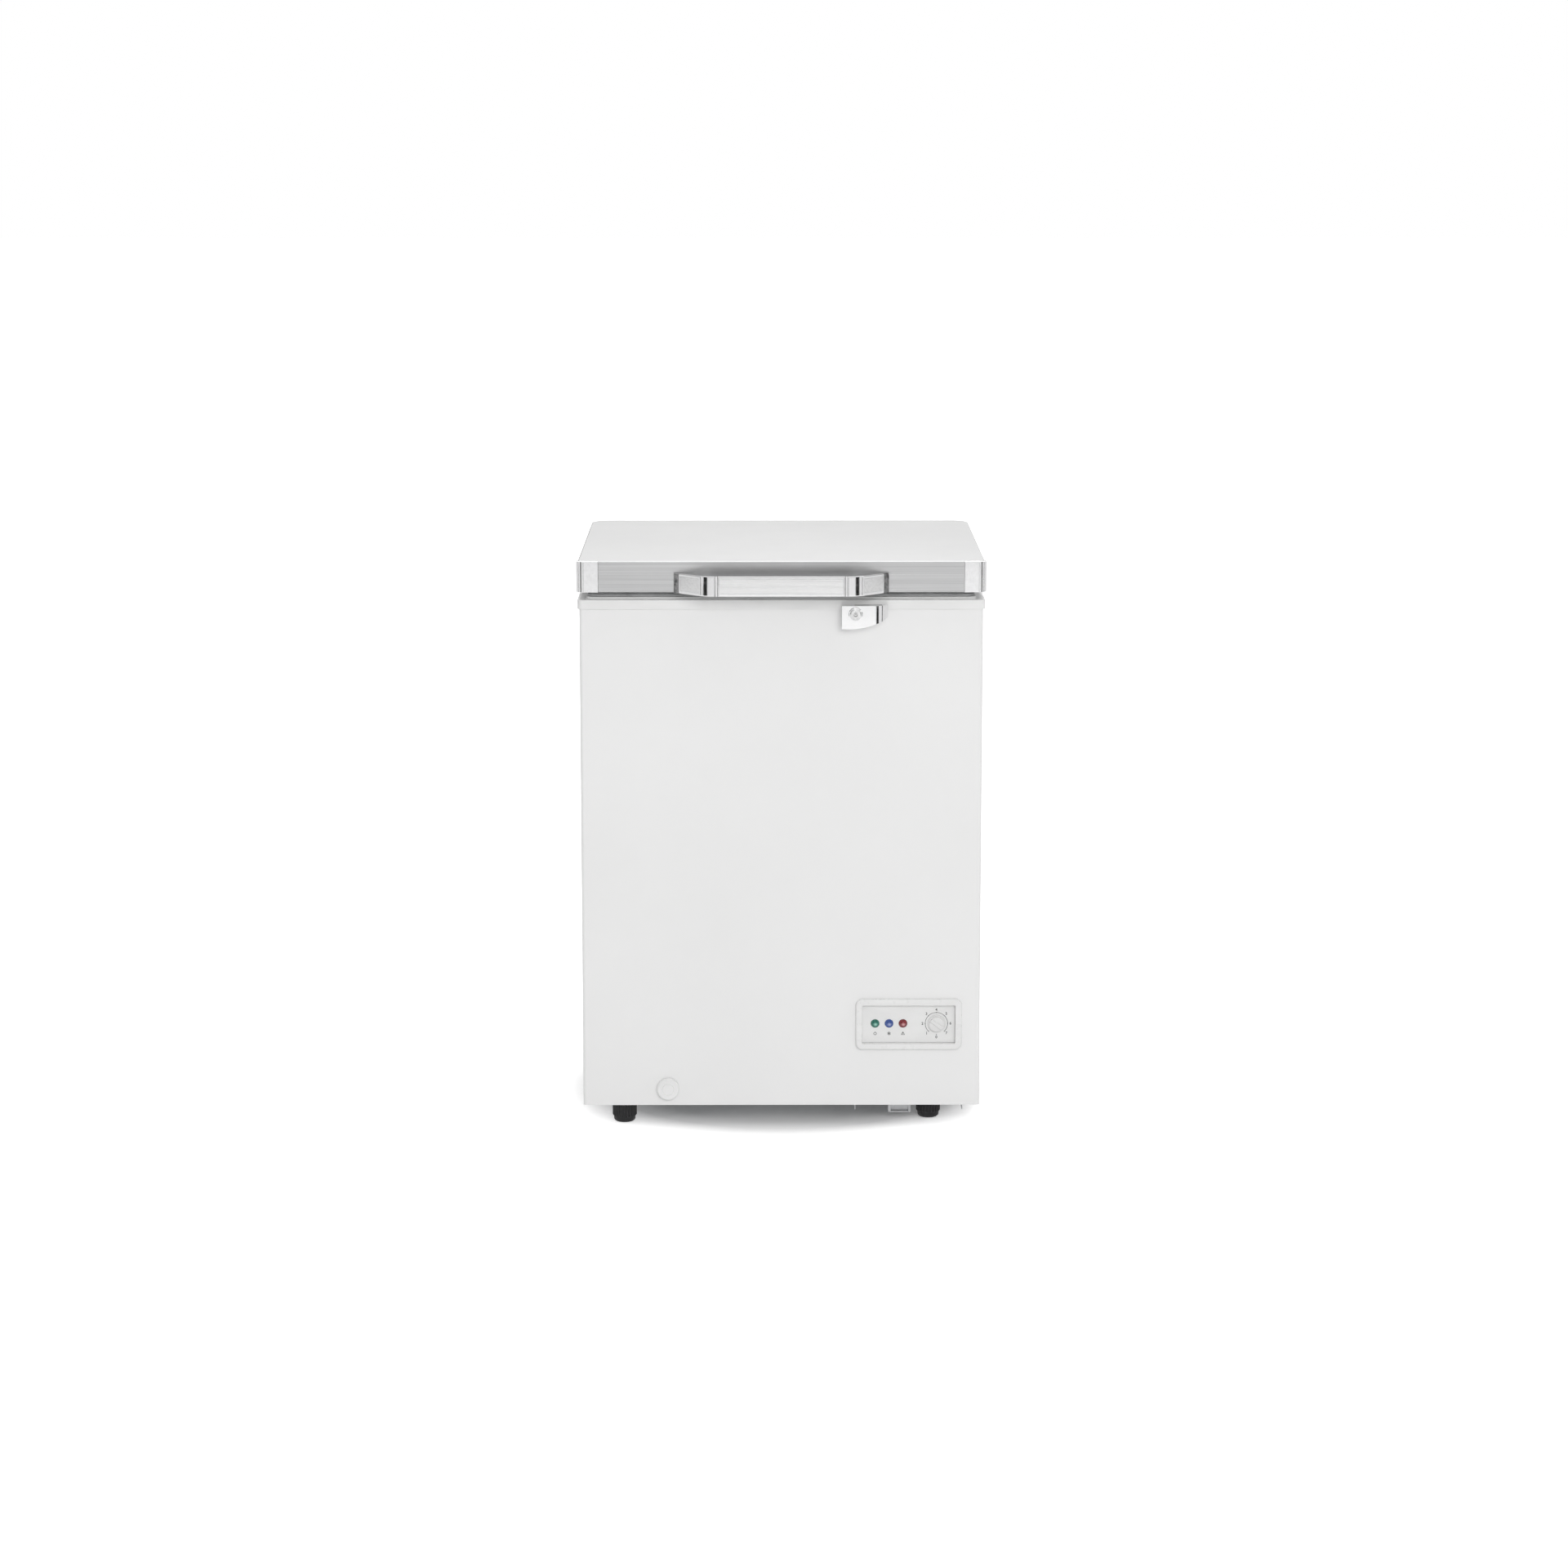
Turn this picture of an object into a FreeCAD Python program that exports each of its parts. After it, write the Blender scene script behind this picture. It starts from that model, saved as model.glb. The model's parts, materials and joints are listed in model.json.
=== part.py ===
"""Small chest freezer with a counterbalanced lid, a front lock and a compressor under a step at the right.

Millimetres. +Z is up, the front faces -Y and +X is to the right of someone facing the front. The origin lies on
the floor, midway between the front of the handle and the back of the hinges, on the cabinet's middle plane.
"""
import FreeCAD, Part
import math
import os

V = FreeCAD.Vector
X_AXIS = V(1, 0, 0)
Y_AXIS = V(0, 1, 0)
Z_AXIS = V(0, 0, 1)

# ---------------------------------------------------------------- driving dimensions
CABINET_WIDTH = 563.0        # over the painted wrapper
CABINET_DEPTH = 505.0        # wrapper front to back panel
TOTAL_HEIGHT = 810.0         # floor to the top of the closed lid
LID_HEIGHT = 42.0            # the lid's edge
LID_SIDE = 3.5               # corner caps outside the wrapper
FLOOR_GAP = 31.0             # floor to the wrapper's bottom edge
SHEET = 1.0                  # steel and aluminium sheet
INSULATION = 52.0            # wrapper outside to liner inside
FIT = 0.3                    # gap between neighbours that only meet
RUN = 0.1                    # radial gap of turning and sliding fits

HANDLE_REACH = 44.0          # how far the handle stands off the trim
HINGE_REACH = 30.0           # how far the hinges stand behind the lid
TRIM_OVERHANG = 14.0         # front trim ahead of the top frame
FRAME_LIP = 2.5              # top frame outside the wrapper

# ---------------------------------------------------------------- levels and planes that follow
LID_DEPTH = TRIM_OVERHANG + FRAME_LIP + CABINET_DEPTH + FRAME_LIP
OVERALL_DEPTH = HANDLE_REACH + LID_DEPTH + HINGE_REACH
Y_HANDLE = -OVERALL_DEPTH / 2
Y_TRIM = Y_HANDLE + HANDLE_REACH
Y_LID_BACK = Y_TRIM + LID_DEPTH
Y_FRAME = Y_TRIM + TRIM_OVERHANG
Y_FRONT = Y_FRAME + FRAME_LIP
Y_BACK = Y_FRONT + CABINET_DEPTH
X_SIDE = CABINET_WIDTH / 2
X_LID = X_SIDE + LID_SIDE
X_FRAME = X_SIDE + FRAME_LIP
Y_FRAME_BACK = Y_BACK + FRAME_LIP

Z_LID_TOP = TOTAL_HEIGHT
Z_LID = Z_LID_TOP - LID_HEIGHT                 # underside of the lid's edge
GASKET_GAP = 10.0                              # land of the top frame to the lid
Z_LAND = Z_LID - GASKET_GAP                    # sealing land of the top frame
LAND_STEP = 3.0
Z_LEDGE = Z_LAND - LAND_STEP                   # outer ledge of the top frame
FRAME_FACE = 13.0                              # visible height of the top frame
Z_FRAME = Z_LEDGE - FRAME_FACE
PLASTIC = 3.0                                  # moulded plastic wall
Z_WRAP_TOP = Z_LEDGE - PLASTIC - FIT
Z_SHELF = Z_LAND - 12.0                        # inner ledge that carries the basket

# the tub
TUB_RADIUS = 20.0
X_TUB = X_SIDE - INSULATION
Y_TUB_FRONT = Y_FRONT + INSULATION
Y_TUB_BACK = Y_BACK - INSULATION
FLOOR_FOAM = 50.0
Z_TUB = FLOOR_GAP + FLOOR_FOAM                 # floor of the tub
COMP_WIDTH = 176.0                             # compressor compartment, inside
COMP_HEIGHT = 218.0
X_COMP = X_SIDE - SHEET - COMP_WIDTH           # left wall of the compartment
Z_COMP = FLOOR_GAP + COMP_HEIGHT               # roof of the compartment
X_STEP = X_COMP - INSULATION + 2 * SHEET       # the tub's step
Z_STEP = Z_COMP + INSULATION - 2 * SHEET
FLANGE = 14.0                                  # folded edges of the sheet metal
Z_BASE = FLOOR_GAP + SHEET                     # underside of the base panel
Z_LINER_TOP = Z_SHELF - PLASTIC - FIT

# ---------------------------------------------------------------- shape helpers


def box(x0, x1, y0, y1, z0, z1):
    return Part.makeBox(x1 - x0, y1 - y0, z1 - z0, V(x0, y0, z0))


def plan_wire(x0, x1, y0, y1, z, radii):
    """Rounded rectangle in plan. radii: front left, front right, back right, back left."""
    fl, fr, br, bl = radii
    corners = [
        (V(x0 + fl, y0, z), V(x1 - fr, y0, z), fr, V(x1 - fr, y0 + fr, z), -90),
        (V(x1, y0 + fr, z), V(x1, y1 - br, z), br, V(x1 - br, y1 - br, z), 0),
        (V(x1 - br, y1, z), V(x0 + bl, y1, z), bl, V(x0 + bl, y1 - bl, z), 90),
        (V(x0, y1 - bl, z), V(x0, y0 + fl, z), fl, V(x0 + fl, y0 + fl, z), 180),
    ]
    edges = []
    for start, end, r, centre, angle in corners:
        edges.append(Part.makeLine(start, end))
        if r > 0:
            edges.append(Part.makeCircle(r, centre, Z_AXIS, angle, angle + 90))
    return Part.Wire(edges)


def rounded(x0, x1, y0, y1, z0, z1, r):
    """Block with rounded upright edges. r: one radius, or front left, front right, back right, back left."""
    radii = r if isinstance(r, (tuple, list)) else (r, r, r, r)
    return Part.Face(plan_wire(x0, x1, y0, y1, z0, radii)).extrude(V(0, 0, z1 - z0))


def ring(outer, inner, z0, z1):
    """Flat ring between two rounded rectangles, each (x0, x1, y0, y1, radius)."""
    big = rounded(*outer[:4], z0, z1, outer[4])
    return big.cut(rounded(*inner[:4], z0 - 1, z1 + 1, inner[4]))


def inset(rect, by):
    """The rounded rectangle (x0, x1, y0, y1, radius) moved in by an amount on every side."""
    x0, x1, y0, y1, r = rect
    return (x0 + by, x1 - by, y0 + by, y1 - by, max(r - by, 1.0))


def rod(start, direction, length, radius):
    return Part.makeCylinder(radius, length, start, direction)


def turned(profile, centre, axis=Z_AXIS):
    """Solid of revolution. profile is a closed list of (radius, height) along the axis from centre."""
    points = [V(r, 0, h) for r, h in profile]
    face = Part.Face(Part.makePolygon(points + [points[0]]))
    solid = face.revolve(V(0, 0, 0), Z_AXIS, 360)
    solid.Placement = FreeCAD.Placement(centre, FreeCAD.Rotation(Z_AXIS, axis))
    return solid


def outline(points, z_axis_plane="XY", at=0.0, thickness=1.0):
    """Straight-sided plate from (a, b) points in the XY, XZ or YZ plane, thickened along the third axis."""
    place = {
        "XY": (lambda a, b: V(a, b, at), V(0, 0, thickness)),
        "XZ": (lambda a, b: V(a, at, b), V(0, thickness, 0)),
        "YZ": (lambda a, b: V(at, a, b), V(thickness, 0, 0)),
    }
    to_point, along = place[z_axis_plane]
    vertices = [to_point(a, b) for a, b in points]
    return Part.Face(Part.makePolygon(vertices + [vertices[0]])).extrude(along)


def joined(shapes):
    """One solid from touching or overlapping solids."""
    whole = shapes[0].multiFuse(shapes[1:]) if len(shapes) > 1 else shapes[0]
    whole = whole.removeSplitter()
    return whole.Solids[0] if len(whole.Solids) == 1 else whole


def welded(wires):
    """One solid from crossing wires, added one at a time."""
    whole = wires[0]
    for wire in wires[1:]:
        whole = whole.fuse(wire)
    return whole.Solids[0] if len(whole.Solids) == 1 else whole


def cut_all(shape, tools):
    return shape.cut(Part.makeCompound(tools)) if tools else shape


def bent_path(points, radius):
    """Straight runs joined by tangent arcs of one radius."""
    edges = []
    start = points[0]
    for before, corner, after in zip(points, points[1:], points[2:]):
        into = (corner - before).normalize()
        out = (after - corner).normalize()
        turn = into.getAngle(out)
        back = radius * math.tan(turn / 2)
        first, last = corner - into * back, corner + out * back
        middle_way = (out - into).normalize()
        middle = corner + middle_way * (radius / math.cos(turn / 2) - radius)
        if (first - start).Length > 1e-6:
            edges.append(Part.makeLine(start, first))
        edges.append(Part.Arc(first, middle, last).toShape())
        start = last
    edges.append(Part.makeLine(start, points[-1]))
    return Part.Wire(edges)


def tube(points, bend, radius):
    """Round rod that follows bent_path."""
    way = (points[1] - points[0]).normalize()
    section = Part.Wire([Part.makeCircle(radius, points[0], way)])
    return bent_path(points, bend).makePipeShell([section], True, False)


def mirrored(shape):
    """Copy on the other side of the cabinet's middle plane."""
    return shape.mirror(V(0, 0, 0), X_AXIS)


# ---------------------------------------------------------------- screws
SCREW_R = 1.8
SCREW_HEAD_R = 3.8
SCREW_HEAD = 2.2


def screw(at, into, length):
    """Pan-head screw whose head seats at a point and whose shank goes in along a direction."""
    out = into * -1
    head = turned(
        [(0, 0), (SCREW_HEAD_R, 0), (SCREW_HEAD_R, SCREW_HEAD * 0.5), (SCREW_HEAD_R * 0.7, SCREW_HEAD),
         (0, SCREW_HEAD)],
        at, out)
    shank = rod(at, into, length, SCREW_R)
    whole = joined([head, shank])
    slot = Part.makeBox(0.8, SCREW_HEAD_R * 1.3, 1.2, V(-0.4, -SCREW_HEAD_R * 0.65, SCREW_HEAD - 0.9))
    slot = slot.fuse(Part.makeBox(SCREW_HEAD_R * 1.3, 0.8, 1.2,
                                  V(-SCREW_HEAD_R * 0.65, -0.4, SCREW_HEAD - 0.9)))
    slot.Placement = FreeCAD.Placement(at, FreeCAD.Rotation(Z_AXIS, out))
    return whole.cut(slot)


def screw_hole(at, into, length):
    """Clearance for a screw's shank."""
    return rod(at - into * 0.5, into, length + 1.0, SCREW_R + RUN)


# ---------------------------------------------------------------- feet
FOOT_R = 17.5
FOOT_STUD_R = 4.0
FOOT_PITCH = 1.25
FOOT_RIBS = 24
FOOT_RIB_R = 1.5
FOOT_HEIGHT = Z_BASE - FIT
FOOT_STUD_FLOOR = 9.0        # the stud starts this high in the knob
FOOT_NUT_R = 9.0
FOOT_NUT_H = 18.0
FOOT_INSET_X = 57.5
FOOT_INSET_FRONT = 34.0
FOOT_INSET_BACK = 40.0
TRAY_FOOT_X = X_SIDE - 70.5  # the right feet stand under the compressor tray
TRAY_FOOT_FRONT = 58.0
X_FOOT_LEFT = -X_SIDE + FOOT_INSET_X
FEET = {
    "front_left": (X_FOOT_LEFT, Y_FRONT + FOOT_INSET_FRONT),
    "front_right": (TRAY_FOOT_X, Y_FRONT + TRAY_FOOT_FRONT),
    "back_left": (X_FOOT_LEFT, Y_BACK - FOOT_INSET_BACK),
    "back_right": (TRAY_FOOT_X, Y_BACK - FOOT_INSET_BACK),
}


def foot_knob(x, y):
    """Ribbed hand wheel with a rounded sole."""
    sole = 2.5
    body = turned(
        [(0, 0), (FOOT_R - sole - 2.5, 0), (FOOT_R - 2.5, sole), (FOOT_R - 1.2, FOOT_HEIGHT * 0.45),
         (FOOT_R - 1.2, FOOT_HEIGHT), (0, FOOT_HEIGHT)],
        V(x, y, 0))
    ribs = []
    for k in range(FOOT_RIBS):
        a = 2 * math.pi * k / FOOT_RIBS
        rib_at = FOOT_R - FOOT_RIB_R - 0.3
        rib = rod(V(x + rib_at * math.cos(a), y + rib_at * math.sin(a), FOOT_HEIGHT * 0.3), Z_AXIS,
                  FOOT_HEIGHT * 0.54, FOOT_RIB_R)
        ribs.append(rib)
    collar = rod(V(x, y, FOOT_HEIGHT * 0.82), Z_AXIS, FOOT_HEIGHT * 0.18, FOOT_R)
    whole = joined([body, collar] + ribs)
    return whole.cut(rod(V(x, y, FOOT_STUD_FLOOR - FIT), Z_AXIS, FOOT_HEIGHT, FOOT_STUD_R + RUN))


def foot_stud(x, y):
    """Steel stud, a plain rod at the thread's outer radius."""
    return rod(V(x, y, FOOT_STUD_FLOOR), Z_AXIS, Z_BASE + FOOT_NUT_H - FOOT_STUD_FLOOR, FOOT_STUD_R)


def foot_nut(x, y, sheet):
    """Flanged weld nut above the sheet that carries the foot."""
    z = Z_BASE + sheet
    nut = turned([(0, 0), (FOOT_NUT_R + 3, 0), (FOOT_NUT_R + 3, 2), (FOOT_NUT_R, 2),
                  (FOOT_NUT_R, FOOT_NUT_H), (0, FOOT_NUT_H)],
                 V(x, y, z))
    return nut.cut(rod(V(x, y, z - 1), Z_AXIS, FOOT_NUT_H + 2, FOOT_STUD_R + RUN))


def foot_holes(names):
    return [rod(V(*FEET[n], Z_BASE - 5), Z_AXIS, 10, FOOT_STUD_R + 1.0) for n in names]


# ---------------------------------------------------------------- control panel (places on the front)
PANEL_X = X_SIDE - 101.0
PANEL_Z = FLOOR_GAP + 118.0
PANEL_W = 150.0
PANEL_H = 73.0
PANEL_R = 9.0
PANEL_PROUD = 6.0
WINDOW_W = 132.0
WINDOW_H = 56.0
FASCIA_DEPTH = 3.0           # fascia's face behind the wrapper's face
FASCIA = 2.0
LENS_R = 6.25
LENS_STEM_R = 5.4
LENS_STEM = 5.0
LENS_PITCH = 19.75
LENS_X = tuple(PANEL_X - 47.5 + k * LENS_PITCH for k in range(3))
DIAL_X = PANEL_X + 39.5
DIAL_R = 12.4
DIAL_PROUD = 9.0
DIAL_REST = 142.0            # where the pointer stands, in degrees from +X
SHAFT_R = 3.0
Y_FASCIA = Y_FRONT + FASCIA_DEPTH
FASCIA_BACK = Y_FASCIA + FASCIA


def front_slab(x, z, w, h, y0, y1, r):
    """Plate on the front with rounded corners: centre x, z, width, height, from y0 back to y1."""
    flat = rounded(x - w / 2, x + w / 2, -h / 2, h / 2, 0, y1 - y0, r)
    flat.rotate(V(x, 0, 0), X_AXIS, 90)
    flat.translate(V(0, y1, z))
    return flat


def control_bezel():
    outer = front_slab(PANEL_X, PANEL_Z, PANEL_W, PANEL_H, Y_FRONT - PANEL_PROUD, Y_FRONT - FIT, PANEL_R)
    front_edges = [e for e in outer.Edges if all(abs(v.Point.y - (Y_FRONT - PANEL_PROUD)) < 1e-3
                                                 for v in e.Vertexes)]
    outer = outer.makeFillet(2.5, front_edges)
    neck = front_slab(PANEL_X, PANEL_Z, WINDOW_W + 5, WINDOW_H + 5, Y_FRONT - 1, FASCIA_BACK + 4, 3.0)
    body = joined([outer, neck])
    body = body.cut(front_slab(PANEL_X, PANEL_Z, WINDOW_W, WINDOW_H, Y_FRONT - 20, Y_FRONT + 30, 1.5))
    ledge = front_slab(PANEL_X, PANEL_Z, WINDOW_W + 1, WINDOW_H + 1, FASCIA_BACK + FIT, FASCIA_BACK + 2, 1.5)
    ledge = ledge.cut(front_slab(PANEL_X, PANEL_Z, WINDOW_W - 6, WINDOW_H - 6, Y_FRONT, Y_FRONT + 30, 1.5))
    return joined([body, ledge])


def control_fascia():
    plate = front_slab(PANEL_X, PANEL_Z, WINDOW_W - 2 * FIT, WINDOW_H - 2 * FIT, Y_FASCIA, FASCIA_BACK, 1.2)
    holes = [rod(V(x, Y_FASCIA - 5, PANEL_Z), Y_AXIS, 12, LENS_STEM_R + RUN) for x in LENS_X]
    holes.append(rod(V(DIAL_X, Y_FASCIA - 5, PANEL_Z), Y_AXIS, 12, SHAFT_R + 0.6))
    return cut_all(plate, holes)


def indicator_lens(x):
    """Domed lens with a stem through the fascia."""
    dome = 3.2
    sphere_r = (LENS_R ** 2 + dome ** 2) / (2 * dome)
    ball = Part.makeSphere(sphere_r, V(x, Y_FASCIA - dome + sphere_r, PANEL_Z))
    cap = ball.common(rod(V(x, Y_FASCIA - dome - 1, PANEL_Z), Y_AXIS, dome + 1 - 0.05, LENS_R))
    stem = rod(V(x, Y_FASCIA - 0.6, PANEL_Z), Y_AXIS, LENS_STEM, LENS_STEM_R)
    return joined([cap, stem])


def lamp_board():
    """Circuit board on the fascia's back with one lamp body behind each lens."""
    y = FASCIA_BACK + 9
    board = box(LENS_X[0] - 14, LENS_X[2] + 14, y, y + 1.6, PANEL_Z - 12, PANEL_Z + 12)
    lamp_front = Y_FASCIA - 0.6 + LENS_STEM + FIT
    lamps = [rod(V(x, lamp_front, PANEL_Z), Y_AXIS, y - lamp_front + 0.5, 2.5) for x in LENS_X]
    posts = [rod(V(x, FASCIA_BACK + FIT, PANEL_Z + dz), Y_AXIS, 9 - FIT + 0.5, 2.0)
             for x in (LENS_X[0] + 10, LENS_X[2] - 10) for dz in (-9, 9)]
    return joined([board] + lamps + posts)


def thermostat_body():
    y = FASCIA_BACK + FIT
    case = box(DIAL_X - 19, DIAL_X + 19, y, y + 26, PANEL_Z - 14, PANEL_Z + 14)
    edges = [e for e in case.Edges if abs(e.Vertexes[0].Point.y - e.Vertexes[1].Point.y) > 1]
    case = case.makeFillet(3.0, edges)
    case = case.cut(rod(V(DIAL_X, y - 1, PANEL_Z), Y_AXIS, 11, SHAFT_R + RUN))
    tabs = [box(DIAL_X + sx * 14 - 3, DIAL_X + sx * 14 + 3, y + 26, y + 33, PANEL_Z - 0.5, PANEL_Z + 0.5)
            for sx in (-1, 0, 1)]
    capillary = tube([V(DIAL_X, y + 13, PANEL_Z + 13), V(DIAL_X, y + 13, PANEL_Z + 40),
                      V(DIAL_X, y + 60, PANEL_Z + 40),
                      V(DIAL_X, y + 60, Z_COMP + SHEET + 20)], 10, 1.2)
    return joined([case, capillary] + tabs)


def capillary_hole():
    y = FASCIA_BACK + FIT + 60
    return rod(V(DIAL_X, y, Z_COMP - 10), Z_AXIS, 10 + SHEET + 22, 1.2 + 1.0)


def thermostat_knob():
    """Skirted knob with a grip bar across it and a shaft into the thermostat."""
    y0 = Y_FASCIA - FIT
    skirt = turned([(0, 0), (DIAL_R, 0), (DIAL_R, 2.0), (DIAL_R - 0.8, 3.0), (0, 3.0)],
                   V(DIAL_X, y0, PANEL_Z), Y_AXIS * -1)
    hub = turned([(0, 0), (DIAL_R - 1.6, 0), (DIAL_R - 2.2, DIAL_PROUD - 2.5), (0, DIAL_PROUD - 2.5)],
                 V(DIAL_X, y0, PANEL_Z), Y_AXIS * -1)
    bar = Part.makeBox(2 * DIAL_R - 5, DIAL_PROUD, 5.0,
                       V(DIAL_X - DIAL_R + 2.5, y0 - DIAL_PROUD, PANEL_Z - 2.5))
    edges = [e for e in bar.Edges if all(abs(v.Point.y - (y0 - DIAL_PROUD)) < 1e-6 for v in e.Vertexes)]
    bar = bar.makeFillet(1.2, edges)
    bar.rotate(V(DIAL_X, y0, PANEL_Z), Y_AXIS, 180 - DIAL_REST)
    shaft = rod(V(DIAL_X, y0 - 1, PANEL_Z), Y_AXIS, FASCIA + 9, SHAFT_R)
    return joined([skirt, hub, bar, shaft])


# ---------------------------------------------------------------- drain
DRAIN_X = -X_SIDE + 120.5
DRAIN_Z = FLOOR_GAP + 24.0
DRAIN_CAP_R = 16.0
DRAIN_CAP = 7.0
DRAIN_R = 7.5                # tube outside
DRAIN_BORE = 5.5
DRAIN_FLOOR_Y = Y_TUB_FRONT + 42.0
STOPPER_R = 15.0


def drain_tube():
    """Elbow from the tub's floor to the front, with a flange on the wrapper's inside."""
    run = [V(DRAIN_X, DRAIN_FLOOR_Y, Z_TUB - SHEET - FIT), V(DRAIN_X, DRAIN_FLOOR_Y, DRAIN_Z),
           V(DRAIN_X, Y_FRONT + SHEET + FIT, DRAIN_Z)]
    outer = tube(run, 12, DRAIN_R)
    flange = rod(V(DRAIN_X, Y_FRONT + SHEET + FIT, DRAIN_Z), Y_AXIS, 2.0, DRAIN_R + 5)
    seat = rod(V(DRAIN_X, DRAIN_FLOOR_Y, Z_TUB - SHEET - FIT - 2), Z_AXIS, 2.0, DRAIN_R + 5)
    bore = tube([run[0] + V(0, 0, 5), run[1], run[2] - V(0, 5, 0)], 12, DRAIN_BORE)
    return joined([outer, flange, seat]).cut(bore)


def drain_room():
    """Space for the drain tube in the foam."""
    run = [V(DRAIN_X, DRAIN_FLOOR_Y, Z_TUB + 1), V(DRAIN_X, DRAIN_FLOOR_Y, DRAIN_Z),
           V(DRAIN_X, Y_FRONT - 1, DRAIN_Z)]
    wide = DRAIN_R + 5 + FIT
    return [tube(run, 12, DRAIN_R + FIT),
            rod(V(DRAIN_X, Y_FRONT, DRAIN_Z), Y_AXIS, SHEET + 2.0 + 2 * FIT, wide),
            rod(V(DRAIN_X, DRAIN_FLOOR_Y, Z_TUB + 1), Z_AXIS * -1, 2.0 + 1 + SHEET + 2 * FIT, wide)]


def drain_cap():
    """Round cap with a raised middle and a plug that slides in the drain tube."""
    y = Y_FRONT - FIT
    disc = turned([(0, 0), (DRAIN_CAP_R, 0), (DRAIN_CAP_R, DRAIN_CAP - 2), (DRAIN_CAP_R - 2, DRAIN_CAP),
                   (8.6, DRAIN_CAP), (8.0, DRAIN_CAP - 0.8), (7.4, DRAIN_CAP), (0, DRAIN_CAP)],
                  V(DRAIN_X, y, DRAIN_Z), Y_AXIS * -1)
    plug = rod(V(DRAIN_X, y - 1, DRAIN_Z), Y_AXIS, 31, DRAIN_BORE - 0.4)
    return joined([disc, plug])


def drain_stopper():
    """Rubber stopper in the tub's floor, with a pull ring."""
    z = Z_TUB + FIT
    disc = turned([(0, 0), (STOPPER_R, 0), (STOPPER_R - 1, 3.5), (0, 3.5)], V(DRAIN_X, DRAIN_FLOOR_Y, z))
    stem = rod(V(DRAIN_X, DRAIN_FLOOR_Y, z - 8), Z_AXIS, 10, DRAIN_BORE - 0.5)
    pull = Part.makeTorus(5.5, 1.4, V(DRAIN_X, DRAIN_FLOOR_Y, z + 8.5), X_AXIS)
    return joined([disc, stem, pull])


# ---------------------------------------------------------------- lock (barrel centre, front outline)
LOCK_X0 = X_SIDE - 197.5
LOCK_X1 = LOCK_X0 + 65.0
LOCK_TOP = Z_LEDGE - 6.0
LOCK_BOTTOM = LOCK_TOP - 32.0
LOCK_REACH = 21.0            # ahead of the top frame
LOCK_WALL = 2.5
BARREL_X = LOCK_X0 + 19.0
BARREL_Z = LOCK_TOP - 11.5
BARREL_R = 8.0
COLLAR_R = 9.8
HOOK_IN = 32.8               # hook's inner and outer radius about the barrel
HOOK_OUT = 36.2
HOOK_FROM = -10.0            # degrees from +X, at rest
HOOK_TO = 12.0
HOOK_THICK = 3.0
HOOK_TURN = 80.0
Y_LOCK = Y_FRAME - LOCK_REACH
Y_HOOK = Y_TRIM + 4.0        # front face of the hook, inside the trim's hollow


def lock_outline(x0, x1, top, bottom, right_rise, y0, y1):
    """Front view of the lock: square at the left, its lower edge sweeping up to the right."""
    a, b = V(x0, y0, top), V(x1, y0, top)
    c, d = V(x1, y0, bottom + right_rise), V(x0, y0, bottom)
    sweep = Part.Arc(c, V(x0 + (x1 - x0) * 0.68, y0, bottom + right_rise * 0.36), d).toShape()
    face = Part.Face(Part.Wire([Part.makeLine(a, b), Part.makeLine(b, c), sweep, Part.makeLine(d, a)]))
    return face.extrude(V(0, y1 - y0, 0))


def lock_plan(x0, x1, y_front, y_back, z0, z1):
    """Plan of the lock: flat face, then a curve back to the wall at the right."""
    bend = x0 + (x1 - x0) * 0.70
    a, b, c = V(x0, y_back, z0), V(x0, y_front, z0), V(bend, y_front, z0)
    d = V(x1, y_back, z0)
    curve = Part.Arc(c, V(bend + (x1 - bend) * 0.62, y_front + (y_back - y_front) * 0.26, z0), d).toShape()
    face = Part.Face(Part.Wire([Part.makeLine(a, b), Part.makeLine(b, c), curve, Part.makeLine(d, a)]))
    return face.extrude(V(0, 0, z1 - z0))


def lock_housing():
    w = LOCK_WALL
    y_back = Y_FRONT - FIT
    shell = lock_outline(LOCK_X0, LOCK_X1, LOCK_TOP, LOCK_BOTTOM, 15.0, Y_LOCK - 1, y_back)
    shell = shell.common(lock_plan(LOCK_X0, LOCK_X1, Y_LOCK, y_back, LOCK_BOTTOM - 1, LOCK_TOP + 1))
    hollow = lock_outline(LOCK_X0 + w, LOCK_X1 - w, LOCK_TOP - w, LOCK_BOTTOM + w, 14.0, Y_LOCK - 1,
                          y_back + 1)
    hollow = hollow.common(lock_plan(LOCK_X0 + w, LOCK_X1 - w, Y_LOCK + w, y_back + 1, LOCK_BOTTOM - 1,
                                     LOCK_TOP + 1))
    over_frame = box(LOCK_X0 - 1, LOCK_X1 + 1, Y_FRAME - FIT, Y_FRONT + 1, Z_FRAME - FIT, LOCK_TOP + 1)
    bore = rod(V(BARREL_X, Y_LOCK - 10, BARREL_Z), Y_AXIS, 12 + w, BARREL_R + RUN)
    slot = box(BARREL_X - 1, BARREL_X + HOOK_OUT + 1, Y_HOOK - 0.8, Y_HOOK + HOOK_THICK + 0.8,
               LOCK_TOP - w - 1, LOCK_TOP + 1)
    collar = turned([(BARREL_R + RUN, 0), (COLLAR_R, 0), (COLLAR_R, 2.5), (COLLAR_R - 1.2, 3.5),
                     (BARREL_R + RUN, 3.5)],
                    V(BARREL_X, Y_LOCK + 0.5, BARREL_Z), Y_AXIS * -1)
    return joined([shell.cut(hollow).cut(over_frame).cut(bore).cut(slot), collar])


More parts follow.
